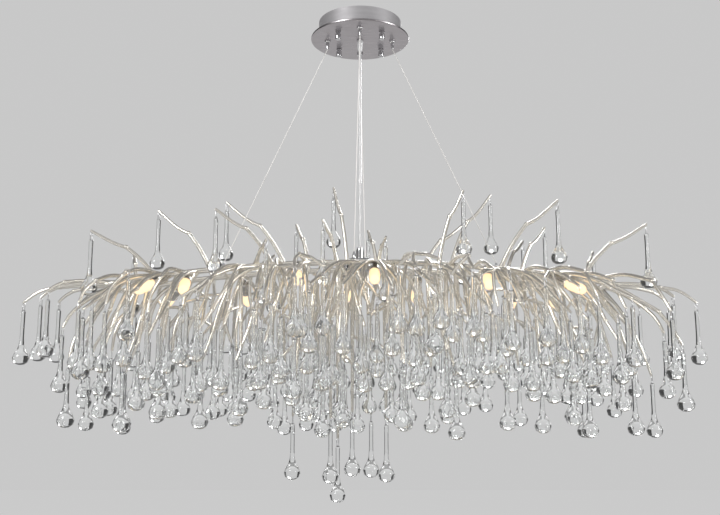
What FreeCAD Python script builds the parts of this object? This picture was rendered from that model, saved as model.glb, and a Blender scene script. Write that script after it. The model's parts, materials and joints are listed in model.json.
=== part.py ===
import FreeCAD, Part
import math
import os
from FreeCAD import Vector

# Branch chandelier with glass drops, in millimetres. The origin is on the ceiling, at the canopy's centre.
# +X runs along the length, +Z up, and -Y towards the viewer.

# Canopy on the ceiling
PLATE_R = 89.0
PLATE_THICK = 3.0
PLATE_EDGE = 1.2
BOX_R = 75.0
BOX_HEIGHT = 30.0
BOX_WALL = 1.5
FITTING_SIDES = 8
BRACKET_THICK = 2.0
BRACKET_WIDTH = 20.0
BRACKET_SCREW_SPACING = 70.0
BRACKET_SCREW_HOLE_R = 2.5
STUD_SPACING = 78.0
STUD_R = 2.0
STUD_CLEARANCE = 0.3
NUT_R = 5.0
NUT_HEIGHT = 15.0
NUT_WASHER = 0.3
TERMINAL_LENGTH = 34.0
TERMINAL_WIDTH = 20.0
TERMINAL_HEIGHT = 14.0

# Suspension
GRIPPER_RADIUS_OUT = 59.0
GRIPPER_R = 5.5
GRIPPER_NOSE_R = 2.6
GRIPPER_LENGTH = 16.0
GRIPPER_NECK_R = 3.0
GRIPPER_NECK = 2.5
WIRE_R = 0.8
WIRE_SIDES = 6
GLAND_R = 7.0
GLAND_NOSE_R = 4.6
GLAND_LENGTH = 20.0
GLAND_WALL = 1.7
CORD_R = 2.6
ANCHOR_R = 4.0
ANCHOR_TOP_R = 1.8
ANCHOR_HEIGHT = 13.0
SIDE_ANCHOR_SHARE = 0.553
CENTRE_ANCHOR_X = 10.0

# Frame that carries the branches
FRAME_TOP = -450.0
RAIL_Y = 43.0
RAIL_R = 5.0
RAIL_HALF_LENGTH = 430.0
RAIL_FALL = 38.0
RUNG_R = 4.0
END_RUNG_INSET = 6.0
RAIL_SIDES = 10
RAIL_STEPS = 10
RUNG_SIDES = 8
HUB_TUBE_R = 7.0
HUB_TUBE_HEIGHT = 21.0
HUB_SIDES = 16
JUNCTION_R = 30.0
JUNCTION_HEIGHT = 22.0
JUNCTION_CORNER = 4.0
LID_THICK = 2.5
LID_KNOB_R = 5.0
LID_KNOB_HEIGHT = 8.0
SEAT = 0.2
LIFT = 200.0

# Lamps
HOLDER_R = 10.0
HOLDER_LENGTH = 30.0
HOLDER_BORE_R = 8.2
HOLDER_BORE_DEPTH = 12.0
BULB_CLEARANCE = 0.5
BULB_SEAT = 0.3
BULB_R = 9.0
BULB_LENGTH = 38.0
BULB_DOME = 7.0
ARM_R = 3.5
ARM_LENGTH = 16.0
LAMP_TILT = 30.0
LAMP_SIDES = 8
FRONT_LAMP_SHARES = (-0.674, -0.244, 0.056, 0.493)
END_LAMP_SHARE = 0.749
END_LAMP_TURN = 0.75

# Branches
BRANCH_SIDES = 4
BRANCH_ROOT_R = 4.0
BRANCH_TIP_R = 2.3
KNUCKLE_R = 4.3
BRANCH_GAP = 1.2
CLEAR_OF_SEAT = 0.35
TIP_OVERHANG = 2.5
STEEP_TIP = 0.75
PLUMB_REACH = 8.0

# Glass drops
DROP_SIDES = 5
HOOK_R = 0.9
HOOK_LENGTH = 11.0
HOOK_SEAT = 0.3
COLLAR_R = 4.6
COLLAR_HEIGHT = 2.5
DROP_STEM_R = 3.7
DROP_STEM_LENGTH = 58.0
DROP_SHOULDER = 22.0
DROP_BALL_R = 14.0
DROP_BALL_CHIN = 12.0
DROP_CHIN_R = 7.5
DROP_FLARE_R = 10.5
DROP_GAP = 1.5
SWING_DEGREES = 10.0

# Skirt of branches along both rails, in tiers that take turns: reach from the middle, fall, and root angle
STATIONS = 42
STATION_INSET = 8.0
SKIRT_OVAL = 1.49
TIERS = (
    (205.0, 46.0, 30.0),
    (110.0, 112.0, -35.0),
    (158.0, 78.0, 0.0),
    (72.0, 138.0, -60.0),
)
TIER_REACH_SPREAD = 30.0
TIER_FALL_SPREAD = 56.0
TIP_SIDE_SPREAD = 24.0
SKIRT_TRIES = 12
ROOT_SHIFT = 7.0
SKIRT_SPLAY = 0.05
END_SPLAY = 0.17
HIGH_BENDS = ((0.40, -0.04), (0.74, 0.24), (0.90, 0.58))
LOW_BENDS = ((0.40, 0.24), (0.66, 0.46), (0.88, 0.70))
BEND_SIDE_STEP = 3.0

# Fans of branches round both ends: reach, fall, root angle on the end rung, number, and root spread
UPPER_FAN = (112.0, 24.0, 40.0, 4, 29.0)
LOWER_FAN = (86.0, 78.0, -60.0, 2, 19.3)
FAN_SPREAD = 40.0
FAN_SCATTER = 0.12
FAR_TWIG_REACH = 154.0
FAR_TWIG_FALL = 27.0
FAR_TWIG_ANGLE = 10.0
FAR_TWIG_BENDS = ((0.30, -0.10), (0.60, 0.05), (0.82, 0.20))

# Branches that stand up from the rails: root as a share of the rail's half length, rail side, then the
# tip's lean along X from the root, its distance out from the rail, and its rise above the frame
CROWN = {
    "crown_1": (-0.814, -1, (-96.0, 41.0, 45.0)),
    "crown_2": (-0.614, 1, (-104.0, 17.0, 112.0)),
    "crown_3": (-0.353, -1, (-91.0, 23.0, 86.0)),
    "crown_4": (-0.305, 1, (-113.0, 19.0, 128.0)),
    "crown_5": (-0.214, 1, (-25.0, 31.0, 88.0)),
    "crown_6": (-0.930, 1, (-14.0, 31.0, 35.0)),
    "crown_7": (-0.051, 1, (-27.0, 39.0, 160.0)),
    "crown_8": (-0.093, -1, (-22.0, 31.0, 65.0)),
    "crown_9": (0.312, -1, (41.0, 17.0, 119.0)),
    "crown_10": (0.265, 1, (73.0, 31.0, 87.0)),
    "crown_11": (0.372, 1, (79.0, 19.0, 141.0)),
    "crown_12": (0.558, -1, (95.0, 17.0, 102.0)),
    "crown_13": (0.665, 1, (54.0, 33.0, 83.0)),
    "crown_14": (0.879, -1, (104.0, 21.0, 60.0)),
    "crown_15": (0.070, 1, (-15.0, 33.0, 77.0)),
    "crown_16": (0.074, -1, (11.0, 31.0, 36.0)),
    "crown_17": (0.609, 1, (44.0, 69.0, 65.0)),
    "crown_18": (0.935, 1, (32.0, 57.0, 42.0)),
    "crown_19": (-0.409, -1, (22.0, 61.0, 26.0)),
    "crown_20": (-0.419, 1, (20.0, 61.0, 37.0)),
}
CROWN_RISE = ((0.20, 0.36), (0.44, 0.64), (0.66, 0.73))
CROWN_ROOT_ANGLE = 80.0
SWINGING = [f"crown_{number}" for number in range(1, 15) if number != 5]

# Long branches that hang low in the middle, in the same terms
CENTRE = (
    (-0.223, 1, (-19.0, -29.0, -258.0)),
    (-0.126, -1, (5.0, -23.0, -262.0)),
    (-0.093, 1, (2.0, -21.0, -296.0)),
    (-0.028, -1, (-1.0, -31.0, -251.0)),
    (0.028, 1, (7.0, -19.0, -255.0)),
    (0.093, -1, (4.0, -25.0, -260.0)),
)
CENTRE_ROOT_ANGLE = -118.0
CENTRE_BENDS = ((0.30, 0.22), (0.62, 0.48), (0.85, 0.74))
TIP_STEP = 2.0
TIP_STEPS = 10

PLATE_TOP = -BOX_HEIGHT
PLATE_BOTTOM = PLATE_TOP - PLATE_THICK
GRIPPER_BOTTOM = PLATE_BOTTOM - GRIPPER_LENGTH
GLAND_BOTTOM = PLATE_BOTTOM - GLAND_LENGTH

obstacles = []
carriers = []
hinges = []


def export(name, *solids):
    """Write one node, as one solid or as a group of separate solids."""
    shape = solids[0] if len(solids) == 1 else Part.makeCompound(list(solids))
    shape.exportStep(f"parts/{name}.step")


def chance(index, kind):
    """A steady value from -1 to 1 that looks scattered from one index to the next."""
    wave = math.sin((index + 1) * 12.9898 + kind * 78.233) * 43758.5453
    return 2.0 * (wave - math.floor(wave)) - 1.0


def polygon(centre, radius, sides):
    """Corner points of a level polygon."""
    corners = []
    for k in range(sides):
        turn = 2.0 * math.pi * (k + 0.5) / sides
        corners.append(centre + Vector(radius * math.cos(turn), radius * math.sin(turn), 0))
    return corners


def closed_wire(corners):
    return Part.makePolygon(corners + [corners[0]])


def faceted(rings):
    """A solid with flat faces between rings of corners; a twisted side is split along its diagonal."""
    faces = []
    sides = len(rings[0])
    for low, high in zip(rings, rings[1:]):
        for k in range(sides):
            quad = [low[k], low[(k + 1) % sides], high[(k + 1) % sides], high[k]]
            normal = (quad[1] - quad[0]).cross(quad[2] - quad[0])
            if abs(normal.dot(quad[3] - quad[0])) < 1e-9 * normal.Length:
                faces.append(Part.Face(closed_wire(quad)))
            else:
                faces.append(Part.Face(closed_wire(quad[:3])))
                faces.append(Part.Face(closed_wire([quad[0], quad[2], quad[3]])))
    faces.append(Part.Face(closed_wire(rings[0])))
    faces.append(Part.Face(closed_wire(rings[-1])))
    solid = Part.makeSolid(Part.makeShell(faces))
    if solid.Volume < 0:
        solid.reverse()
    return solid


def turned(profile, sides, x=0.0, y=0.0):
    """A faceted turning: a profile of (height, radius) about an upright axis."""
    return faceted([polygon(Vector(x, y, height), radius, sides) for height, radius in profile])


def rod(points, radii, sides, seat_normal=None, end_normal=None):
    """A faceted rod through points, mitred at each; its ends are square or cut to a normal."""
    along = (points[1] - points[0]).normalize()
    across = along if seat_normal is None else seat_normal
    side = along.cross(Vector(0, 0, 1))
    if side.Length < 0.1:
        side = along.cross(Vector(0, 1, 0))
    side.normalize()
    up = side.cross(along)
    ring = []
    for k in range(sides):
        turn = 2.0 * math.pi * (k + 0.5) / sides
        corner = points[0] + (side * math.cos(turn) + up * math.sin(turn)) * radii[0]
        ring.append(corner + along * ((points[0] - corner).dot(across) / along.dot(across)))
    rings = [ring]
    for i in range(1, len(points)):
        along = (points[i] - points[i - 1]).normalize()
        across = along if end_normal is None else end_normal
        if i < len(points) - 1:
            across = along + (points[i + 1] - points[i]).normalize()
        ring = []
        for corner in rings[-1]:
            moved = points[i - 1] + (corner - points[i - 1]) * (radii[i] / radii[i - 1])
            ring.append(moved + along * ((points[i] - moved).dot(across) / along.dot(across)))
        rings.append(ring)
    return faceted(rings)


def cylinder(radius, bottom, top, x=0.0, y=0.0):
    return Part.makeCylinder(radius, top - bottom, Vector(x, y, bottom))


def segment_gap(a, b, c, d):
    """Least distance between the segments ab and cd."""
    u = b - a
    v = d - c
    w = a - c
    uu = u.dot(u)
    uv = u.dot(v)
    vv = v.dot(v)
    uw = u.dot(w)
    vw = v.dot(w)
    area = uu * vv - uv * uv
    s = 0.0
    if area > 1e-9:
        s = min(max((uv * vw - vv * uw) / area, 0.0), 1.0)
    t = (uv * s + vw) / vv if vv > 1e-9 else 0.0
    if t < 0.0 or t > 1.0:
        t = min(max(t, 0.0), 1.0)
        s = min(max((uv * t - uw) / uu, 0.0), 1.0) if uu > 1e-9 else 0.0
    return (w + u * s - v * t).Length


def is_clear(capsules, gap, others):
    """Whether round-ended rods (start, end, radius) keep a gap from the others."""
    for start, end, radius in capsules:
        low = min(start.x, end.x) - radius - gap
        high = max(start.x, end.x) + radius + gap
        for other_start, other_end, other_radius in others:
            if min(other_start.x, other_end.x) - other_radius > high:
                continue
            if max(other_start.x, other_end.x) + other_radius < low:
                continue
            if segment_gap(start, end, other_start, other_end) < radius + other_radius + gap:
                return False
    return True


def rail_arc_radius():
    return (RAIL_HALF_LENGTH ** 2 + RAIL_FALL ** 2) / (2.0 * RAIL_FALL)


def rail_height(x):
    """Height of a rail's centre line, on a circular arc that falls towards the ends."""
    return FRAME_TOP - rail_arc_radius() + math.sqrt(rail_arc_radius() ** 2 - x ** 2)


def rail_seat(x, side, angle):
    """Seat on a rail at an angle round it from its outer side: the point and the way it faces."""
    slope = x / rail_arc_radius()
    turn = math.radians(angle)
    upward = Vector(slope, 0, math.sqrt(1.0 - slope ** 2))
    facing = Vector(0, side * math.cos(turn), 0) + upward * math.sin(turn)
    return Vector(x, side * RAIL_Y, rail_height(x)) + facing * (RAIL_R + SEAT), facing


def tip_from_rail(root, side, reach):
    """Tip of a branch, by its lean along X, its distance out from the rail and its rise above the frame."""
    lean, out, rise = reach
    return Vector(root * RAIL_HALF_LENGTH + lean, side * (RAIL_Y + out), FRAME_TOP + rise)


def rung_seat(end, y, angle):
    """Seat on an end rung, at an angle round it from its outer side."""
    turn = math.radians(angle)
    facing = Vector(end * math.cos(turn), 0, math.sin(turn))
    x = end * (RAIL_HALF_LENGTH - END_RUNG_INSET)
    return Vector(x, y, rail_height(x)) + facing * (RUNG_R + SEAT), facing


def branch_radii(count):
    """Radii along a branch: a taper, with a swelling at its knuckle."""
    taper = (BRANCH_TIP_R - BRANCH_ROOT_R) / (count - 1)
    radii = [BRANCH_ROOT_R + taper * i for i in range(count)]
    radii[count // 2] = KNUCKLE_R
    return radii


def branch_capsules(points, radii, start=0.0):
    """Round-ended rods about a branch, from a share of its first length on."""
    route = [points[0] + (points[1] - points[0]) * start] + points[1:]
    return [(a, b, max(r, q)) for a, b, r, q in zip(route, route[1:], radii, radii[1:])]


def drop_capsules(hook, swing):
    """Round-ended rods about a hanging drop, and about the space that its swing along X sweeps."""
    neck = hook - Vector(0, 0, HOOK_SEAT + HOOK_LENGTH)
    ball_depth = HOOK_SEAT + HOOK_LENGTH + COLLAR_HEIGHT + DROP_STEM_LENGTH + DROP_SHOULDER
    ball = hook - Vector(0, 0, ball_depth)
    places = [ball]
    if swing:
        reach = ball_depth * math.tan(math.radians(SWING_DEGREES))
        places = [ball - Vector(reach, 0, 0), ball, ball + Vector(reach, 0, 0)]
    capsules = [(places[0], places[-1], DROP_BALL_R)]
    for place in places:
        capsules.append((neck, place, COLLAR_R))
        capsules.append((place, place + Vector(0, 0, DROP_SHOULDER / 3), DROP_FLARE_R))
    return capsules


def branch_and_hook(points, radii, facing):
    """A branch that runs on a little past its drop, and the place under it where the hook hangs."""
    tip = points[-1]
    along = (tip - points[-2]).normalize()
    if along.z < -STEEP_TIP:
        branch = rod(points, radii, BRANCH_SIDES, facing, Vector(0, 0, -1))
        return branch, tip
    branch = rod(points[:-1] + [tip + along * TIP_OVERHANG], radii, BRANCH_SIDES, facing)
    lowest = tip.z
    for corner in polygon(tip, HOOK_R, BRANCH_SIDES) + [tip]:
        plumb = Part.makeLine(corner - Vector(0, 0, PLUMB_REACH), corner + Vector(0, 0, PLUMB_REACH))
        lowest = min(lowest, plumb.common(branch).BoundBox.ZMin)
    return branch, Vector(tip.x, tip.y, lowest)


def glass_drop(hook):
    """One drop: wire hook, collar, and a stem that flares into a ball."""
    steps = (
        (HOOK_SEAT, HOOK_R),
        (HOOK_LENGTH, HOOK_R),
        (COLLAR_HEIGHT, COLLAR_R),
        (DROP_STEM_LENGTH, DROP_STEM_R),
        (DROP_SHOULDER, DROP_BALL_R),
        (DROP_BALL_CHIN, DROP_CHIN_R),
    )
    height = hook.z
    profile = []
    for step, radius in steps:
        height -= step
        profile.append((height, radius))
    return turned(profile, DROP_SIDES, hook.x, hook.y)


class Zone:
    """Branches and drops of one zone; each branch is kept only where it and its drop are clear."""

    def __init__(self, name):
        self.name = name
        self.branches = []
        self.drops = []

    def grow(self, seat, bends, tip, swinging_name=""):
        """Add a branch from its seat over its bends to its tip, with the drop that hangs there."""
        root, facing = seat
        points = [root] + bends + [tip]
        radii = branch_radii(len(points))
        rods = branch_capsules(points, radii)
        glass = drop_capsules(tip, swinging_name != "")
        past_seat = branch_capsules(points, radii, CLEAR_OF_SEAT)
        if not is_clear(past_seat, 0.0, carriers) or not is_clear(rods, BRANCH_GAP, obstacles):
            return False
        if not is_clear(glass, DROP_GAP, obstacles + carriers + rods[:-1]):
            return False
        obstacles.extend(rods + glass)
        branch, hook = branch_and_hook(points, radii, facing)
        self.branches.append(branch)
        if swinging_name:
            export(swinging_name, glass_drop(hook))
            hinges.append((swinging_name, hook))
        else:
            self.drops.append(glass_drop(hook))
        return True

    def write(self):
        if self.branches:
            export(f"{self.name}_branches", *self.branches)
        if self.drops:
            export(f"{self.name}_drops", *self.drops)


def bends_between(root, tip, shares, side_step=0.0):
    """Points on the way from root to tip, by the share of the way along and the share of the way up."""
    way = tip - root
    bends = []
    for number, (along, rise) in enumerate(shares):
        step = side_step if number % 2 else -side_step
        bends.append(root + Vector(way.x * along + step, way.y * along, way.z * rise))
    return bends


def grow_placed(zone, seat, tip, shares, step, drop_name=""):
    """Grow a placed branch; where it isn't clear, its tip moves on by small steps until it is."""
    for number in range(TIP_STEPS):
        moved = tip + step * number
        if zone.grow(seat, bends_between(seat[0], moved, shares), moved, drop_name):
            break


def canopy():
    """Ceiling bracket, round box, cover plate, its studs and nuts, and the terminals inside."""
    arm = STUD_SPACING * math.sqrt(2.0) + BRACKET_WIDTH
    corner = Vector(-arm / 2, -BRACKET_WIDTH / 2, -BRACKET_THICK)
    strip = Part.makeBox(arm, BRACKET_WIDTH, BRACKET_THICK, corner)
    bracket = strip.copy()
    bracket.rotate(Vector(), Vector(0, 0, 1), 45)
    strip.rotate(Vector(), Vector(0, 0, 1), -45)
    bracket = bracket.fuse(strip).removeSplitter()
    turn = BRACKET_SCREW_SPACING / 2 / math.sqrt(2.0)
    for sign in (-1, 1):
        hole = cylinder(BRACKET_SCREW_HOLE_R, -BRACKET_THICK, 0, sign * turn, sign * turn)
        bracket = bracket.cut(hole)
    export("ceiling_bracket", bracket)

    box = cylinder(BOX_R, PLATE_TOP, 0).cut(cylinder(BOX_R - BOX_WALL, PLATE_TOP, 0))
    export("canopy_box", box)

    plate = cylinder(PLATE_R, PLATE_BOTTOM, PLATE_TOP)
    rim = [edge for edge in plate.Edges if edge.BoundBox.ZMax < PLATE_BOTTOM + PLATE_THICK / 2]
    plate = plate.makeChamfer(PLATE_EDGE, rim)
    studs = []
    nuts = []
    nut_bottom = PLATE_BOTTOM - NUT_WASHER - NUT_HEIGHT
    for x in (-STUD_SPACING / 2, STUD_SPACING / 2):
        for y in (-STUD_SPACING / 2, STUD_SPACING / 2):
            bore_r = STUD_R + STUD_CLEARANCE
            plate = plate.cut(turned([(PLATE_BOTTOM, bore_r), (PLATE_TOP, bore_r)], FITTING_SIDES, x, y))
            stud_end = nut_bottom + NUT_HEIGHT / 3
            studs.append(turned([(stud_end, STUD_R), (-BRACKET_THICK, STUD_R)], FITTING_SIDES, x, y))
            barrel = turned(
                [
                    (nut_bottom, NUT_R * 0.7),
                    (nut_bottom + NUT_HEIGHT * 0.2, NUT_R),
                    (nut_bottom + NUT_HEIGHT * 0.8, NUT_R),
                    (nut_bottom + NUT_HEIGHT, NUT_R * 0.8),
                ],
                FITTING_SIDES, x, y,
            )
            bore_end = stud_end - STUD_CLEARANCE
            bore = turned([(bore_end, bore_r), (nut_bottom + NUT_HEIGHT, bore_r)], FITTING_SIDES, x, y)
            nuts.append(barrel.cut(bore))
    grippers = []
    for x, y in gripper_places():
        neck_r = GRIPPER_NECK_R + STUD_CLEARANCE
        plate = plate.cut(turned([(PLATE_BOTTOM, neck_r), (PLATE_TOP, neck_r)], FITTING_SIDES, x, y))
        grippers.append(
            turned(
                [
                    (GRIPPER_BOTTOM, GRIPPER_NOSE_R),
                    (PLATE_BOTTOM - GRIPPER_LENGTH / 4, GRIPPER_R),
                    (PLATE_BOTTOM, GRIPPER_R),
                    (PLATE_BOTTOM, GRIPPER_NECK_R),
                    (PLATE_TOP + GRIPPER_NECK, GRIPPER_NECK_R),
                ],
                FITTING_SIDES, x, y,
            )
        )
    gland_neck_r = CORD_R + GLAND_WALL
    gland_hole_r = gland_neck_r + STUD_CLEARANCE
    plate = plate.cut(turned([(PLATE_BOTTOM, gland_hole_r), (PLATE_TOP, gland_hole_r)], FITTING_SIDES))
    gland = turned(
        [
            (GLAND_BOTTOM, GLAND_NOSE_R),
            (PLATE_BOTTOM - GLAND_LENGTH / 2, GLAND_R),
            (PLATE_BOTTOM, GLAND_R),
            (PLATE_BOTTOM, gland_neck_r),
            (PLATE_TOP + GRIPPER_NECK, gland_neck_r),
        ],
        FITTING_SIDES,
    )
    export("canopy_plate", plate)
    export("bracket_studs", *studs)
    export("cap_nuts", *nuts)
    export("wire_grippers", *grippers)
    export("cord_gland", gland)

    terminal = Part.makeBox(
        TERMINAL_LENGTH, TERMINAL_WIDTH, TERMINAL_HEIGHT,
        Vector(-TERMINAL_LENGTH / 2, -TERMINAL_WIDTH / 2, -BRACKET_THICK - TERMINAL_HEIGHT),
    )
    export("terminal_block", terminal)
    tail_top = -BRACKET_THICK - TERMINAL_HEIGHT
    export("cord_tail", turned([(PLATE_TOP + GRIPPER_NECK, CORD_R), (tail_top, CORD_R)], FITTING_SIDES))


def gripper_places():
    """Left, right, front and back wire grippers, as places on the cover plate."""
    out = GRIPPER_RADIUS_OUT
    return ((-out, 0.0), (out, 0.0), (0.0, -out), (0.0, out))


def anchor_places():
    """Foot of each wire on the frame, in the grippers' order: two on rungs, two on the rails."""
    side_x = SIDE_ANCHOR_SHARE * RAIL_HALF_LENGTH
    rung_top = rail_height(side_x) + RUNG_R + SEAT
    rail_top = rail_height(CENTRE_ANCHOR_X) + RAIL_R + SEAT
    return (
        Vector(-side_x, 0, rung_top),
        Vector(side_x, 0, rung_top),
        Vector(-CENTRE_ANCHOR_X, -RAIL_Y, rail_top),
        Vector(CENTRE_ANCHOR_X, RAIL_Y, rail_top),
    )


def suspension():
    """Four steel wires from the grippers to the frame, their feet, and the power cord in the middle."""
    feet = []
    names = ("wire_left", "wire_right", "wire_front", "wire_back")
    for name, (x, y), foot in zip(names, gripper_places(), anchor_places()):
        top = Vector(x, y, GRIPPER_BOTTOM)
        low = foot + Vector(0, 0, ANCHOR_HEIGHT)
        export(name, faceted([polygon(low, WIRE_R, WIRE_SIDES), polygon(top, WIRE_R, WIRE_SIDES)]))
        profile = [(foot.z, ANCHOR_R), (foot.z + ANCHOR_HEIGHT / 2, ANCHOR_R), (low.z, ANCHOR_TOP_R)]
        feet.append(turned(profile, FITTING_SIDES, foot.x, foot.y))
        obstacles.append((foot, low, ANCHOR_R))
        obstacles.append((low, top, WIRE_R))
        obstacles.append((low, top - Vector(0, 0, LIFT), WIRE_R))
    export("wire_feet", *feet)
    cord_foot = hub_tube_top()
    export("power_cord", turned([(cord_foot, CORD_R), (GLAND_BOTTOM, CORD_R)], FITTING_SIDES))
    obstacles.append((Vector(0, 0, cord_foot), Vector(0, 0, GLAND_BOTTOM), CORD_R))


def hub_tube_top():
    return FRAME_TOP + JUNCTION_HEIGHT / 2 + HUB_TUBE_HEIGHT


def rail(side, radius):
    """One long rail on its falling arc, as short straight lengths."""
    points = []
    for step in range(RAIL_STEPS + 1):
        x = RAIL_HALF_LENGTH * (2.0 * step / RAIL_STEPS - 1.0)
        points.append(Vector(x, side * RAIL_Y, rail_height(x)))
    return rod(points, [radius] * len(points), RAIL_SIDES)


def frame():
    """Two rails, the rungs between them, and the round wiring hub with its tube and lid."""
    export("rail_front", rail(-1, RAIL_R))
    export("rail_back", rail(1, RAIL_R))
    clearance = rail(-1, RAIL_R + SEAT).fuse(rail(1, RAIL_R + SEAT))
    end_x = RAIL_HALF_LENGTH - END_RUNG_INSET
    rungs = []
    anchor_x = SIDE_ANCHOR_SHARE * RAIL_HALF_LENGTH
    for x in (-end_x, -anchor_x, anchor_x, end_x):
        low = Vector(x, -RAIL_Y, rail_height(x))
        high = Vector(x, RAIL_Y, rail_height(x))
        rungs.append(rod([low, high], [RUNG_R, RUNG_R], RUNG_SIDES).cut(clearance))
        carriers.append((low, high, RUNG_R))
    export("rungs", *rungs)
    for side in (-1, 1):
        for step in range(RAIL_STEPS):
            x = RAIL_HALF_LENGTH * (2.0 * step / RAIL_STEPS - 1.0)
            ahead = RAIL_HALF_LENGTH * (2.0 * (step + 1) / RAIL_STEPS - 1.0)
            low = Vector(x, side * RAIL_Y, rail_height(x))
            carriers.append((low, Vector(ahead, side * RAIL_Y, rail_height(ahead)), RAIL_R))

    bottom = FRAME_TOP - JUNCTION_HEIGHT / 2
    top = FRAME_TOP + JUNCTION_HEIGHT / 2
    hub = turned(
        [
            (bottom, JUNCTION_R),
            (top - JUNCTION_CORNER, JUNCTION_R),
            (top, JUNCTION_R - JUNCTION_CORNER),
        ],
        HUB_SIDES,
    )
    arms = rod([Vector(0, -RAIL_Y, FRAME_TOP), Vector(0, RAIL_Y, FRAME_TOP)], [RUNG_R, RUNG_R], RUNG_SIDES)
    export("wiring_hub", hub.fuse(arms.cut(clearance)).removeSplitter())
    export("hub_tube", turned([(top, HUB_TUBE_R), (hub_tube_top(), HUB_TUBE_R)], HUB_SIDES))
    lid_low = bottom - LID_THICK
    lid = turned([(lid_low, JUNCTION_R - JUNCTION_CORNER), (bottom, JUNCTION_R)], HUB_SIDES)
    knob_low = lid_low - LID_KNOB_HEIGHT
    knob = turned([(knob_low, LID_KNOB_R * 0.6), (lid_low, LID_KNOB_R)], RUNG_SIDES)
    export("hub_lid", lid)
    export("lid_nut", knob)
    obstacles.append((Vector(0, 0, knob_low), Vector(0, 0, hub_tube_top()), HUB_TUBE_R))
    inner = JUNCTION_R - JUNCTION_HEIGHT / 2
    for turn in range(8):
        angle = math.pi * turn / 4
        spoke = Vector(inner * math.cos(angle), inner * math.sin(angle), FRAME_TOP)
        obstacles.append((Vector(0, 0, FRAME_TOP), spoke, JUNCTION_HEIGHT / 2))


def lamp_places():
    """Rail, place along it, and how far each lamp turns along the rail."""
    places = []
    for share in FRONT_LAMP_SHARES:
        places.append((-1, share * RAIL_HALF_LENGTH, 0.0))
        places.append((1, -share * RAIL_HALF_LENGTH, 0.0))
    for side in (-1, 1):
        for end in (-1, 1):
            places.append((side, end * END_LAMP_SHARE * RAIL_HALF_LENGTH, end * END_LAMP_TURN))
    return places


def lamps():
    """Arm, holder and bulb of each lamp, pointing out and down from its rail."""
    arms = []
    holders = []
    bulbs = []
    for side, x, sideways in lamp_places():
        seat, facing = rail_seat(x, side, -LAMP_TILT)
        aim = (facing + Vector(sideways, 0, 0)).normalize()
        elbow = seat + facing * ARM_LENGTH * 0.5
        mouth_back = elbow + aim * ARM_LENGTH * 0.5
        mouth = mouth_back + aim * HOLDER_LENGTH
        bore_end = mouth - aim * HOLDER_BORE_DEPTH
        tip = mouth + aim * BULB_LENGTH
        arms.append(rod([seat, elbow, mouth_back], [ARM_R] * 3, BRANCH_SIDES, facing))
        holder = rod([mouth_back, mouth], [HOLDER_R * 0.85, HOLDER_R], LAMP_SIDES)
        holders.append(holder.cut(rod([bore_end, mouth], [HOLDER_BORE_R] * 2, LAMP_SIDES)))
        base_r = HOLDER_BORE_R - BULB_CLEARANCE
        stages = [bore_end + aim * BULB_SEAT, mouth + aim * BULB_CLEARANCE, tip - aim * BULB_DOME, tip]
        bulbs.append(rod(stages, [base_r, base_r, BULB_R, BULB_R * 0.55], LAMP_SIDES))
        obstacles.append((seat, elbow, ARM_R))
        obstacles.append((elbow, mouth_back, ARM_R))
        obstacles.append((mouth_back + aim * HOLDER_R, tip - aim * BULB_R, HOLDER_R))
    export("lamp_arms", *arms)
    export("lamp_holders", *holders)
    export("bulbs", *bulbs)


def crown():
    """Branches that stand up from the rails; most of their drops hang clear and swing."""
    left = Zone("crown_left")
    right = Zone("crown_right")
    for name, (root, side, reach) in CROWN.items():
        seat = rail_seat(root * RAIL_HALF_LENGTH, side, CROWN_ROOT_ANGLE)
        tip = tip_from_rail(root, side, reach)
        zone = left if root < 0 else right
        drop_name = f"{name}_drop" if name in SWINGING else ""
        grow_placed(zone, seat, tip, CROWN_RISE, Vector(0, side, 2) * TIP_STEP, drop_name)
    return left, right


def fans():
    """Branches that spread round both ends, and the long twig at the middle of each end."""
    zones = []
    for end, word in ((-1, "left"), (1, "right")):
        zone = Zone(f"{word}_end")
        seat = rung_seat(end, 0.0, FAR_TWIG_ANGLE)
        tip = seat[0] + Vector(end * FAR_TWIG_REACH, 0, -FAR_TWIG_FALL)
        zone.grow(seat, bends_between(seat[0], tip, FAR_TWIG_BENDS), tip, f"{word}_end_drop")
        for level, (reach, fall, angle, count, root_spread) in enumerate((UPPER_FAN, LOWER_FAN)):
            for number in range(count):
                share = 2.0 * number / (count - 1) - 1.0
                turn = math.radians(share * FAN_SPREAD)
                seat = rung_seat(end, share * root_spread, angle)
                scatter = 1.0 + FAN_SCATTER * chance(number, level + 3 * end)
                out = Vector(end * math.cos(turn), math.sin(turn), 0) * reach * scatter
                tip = seat[0] + out - Vector(0, 0, fall * scatter)
                name = f"{word}_back_drop" if level == 0 and number == count - 1 else ""
                zone.grow(seat, bends_between(seat[0], tip, LOW_BENDS if level else HIGH_BENDS), tip, name)
        zones.append(zone)
    return zones


def skirt():
    """Branches that arch out and down from both rails, in four tiers that take turns along them."""
    zones = []
    for side, word in ((-1, "front"), (1, "back")):
        for end, end_word in ((-1, "left"), (1, "right")):
            zones.append(Zone(f"{word}_{end_word}"))
        for station in range(STATIONS):
            x = (RAIL_HALF_LENGTH - STATION_INSET) * (2.0 * station / (STATIONS - 1) - 1.0)
            reach, fall, angle = TIERS[(station + (side > 0) * 2) % len(TIERS)]
            zone = zones[-2] if x < 0 else zones[-1]
            add_skirt_branch(zone, x, side, reach, fall, angle, station + STATIONS * (1 + side))
    return zones


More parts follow.
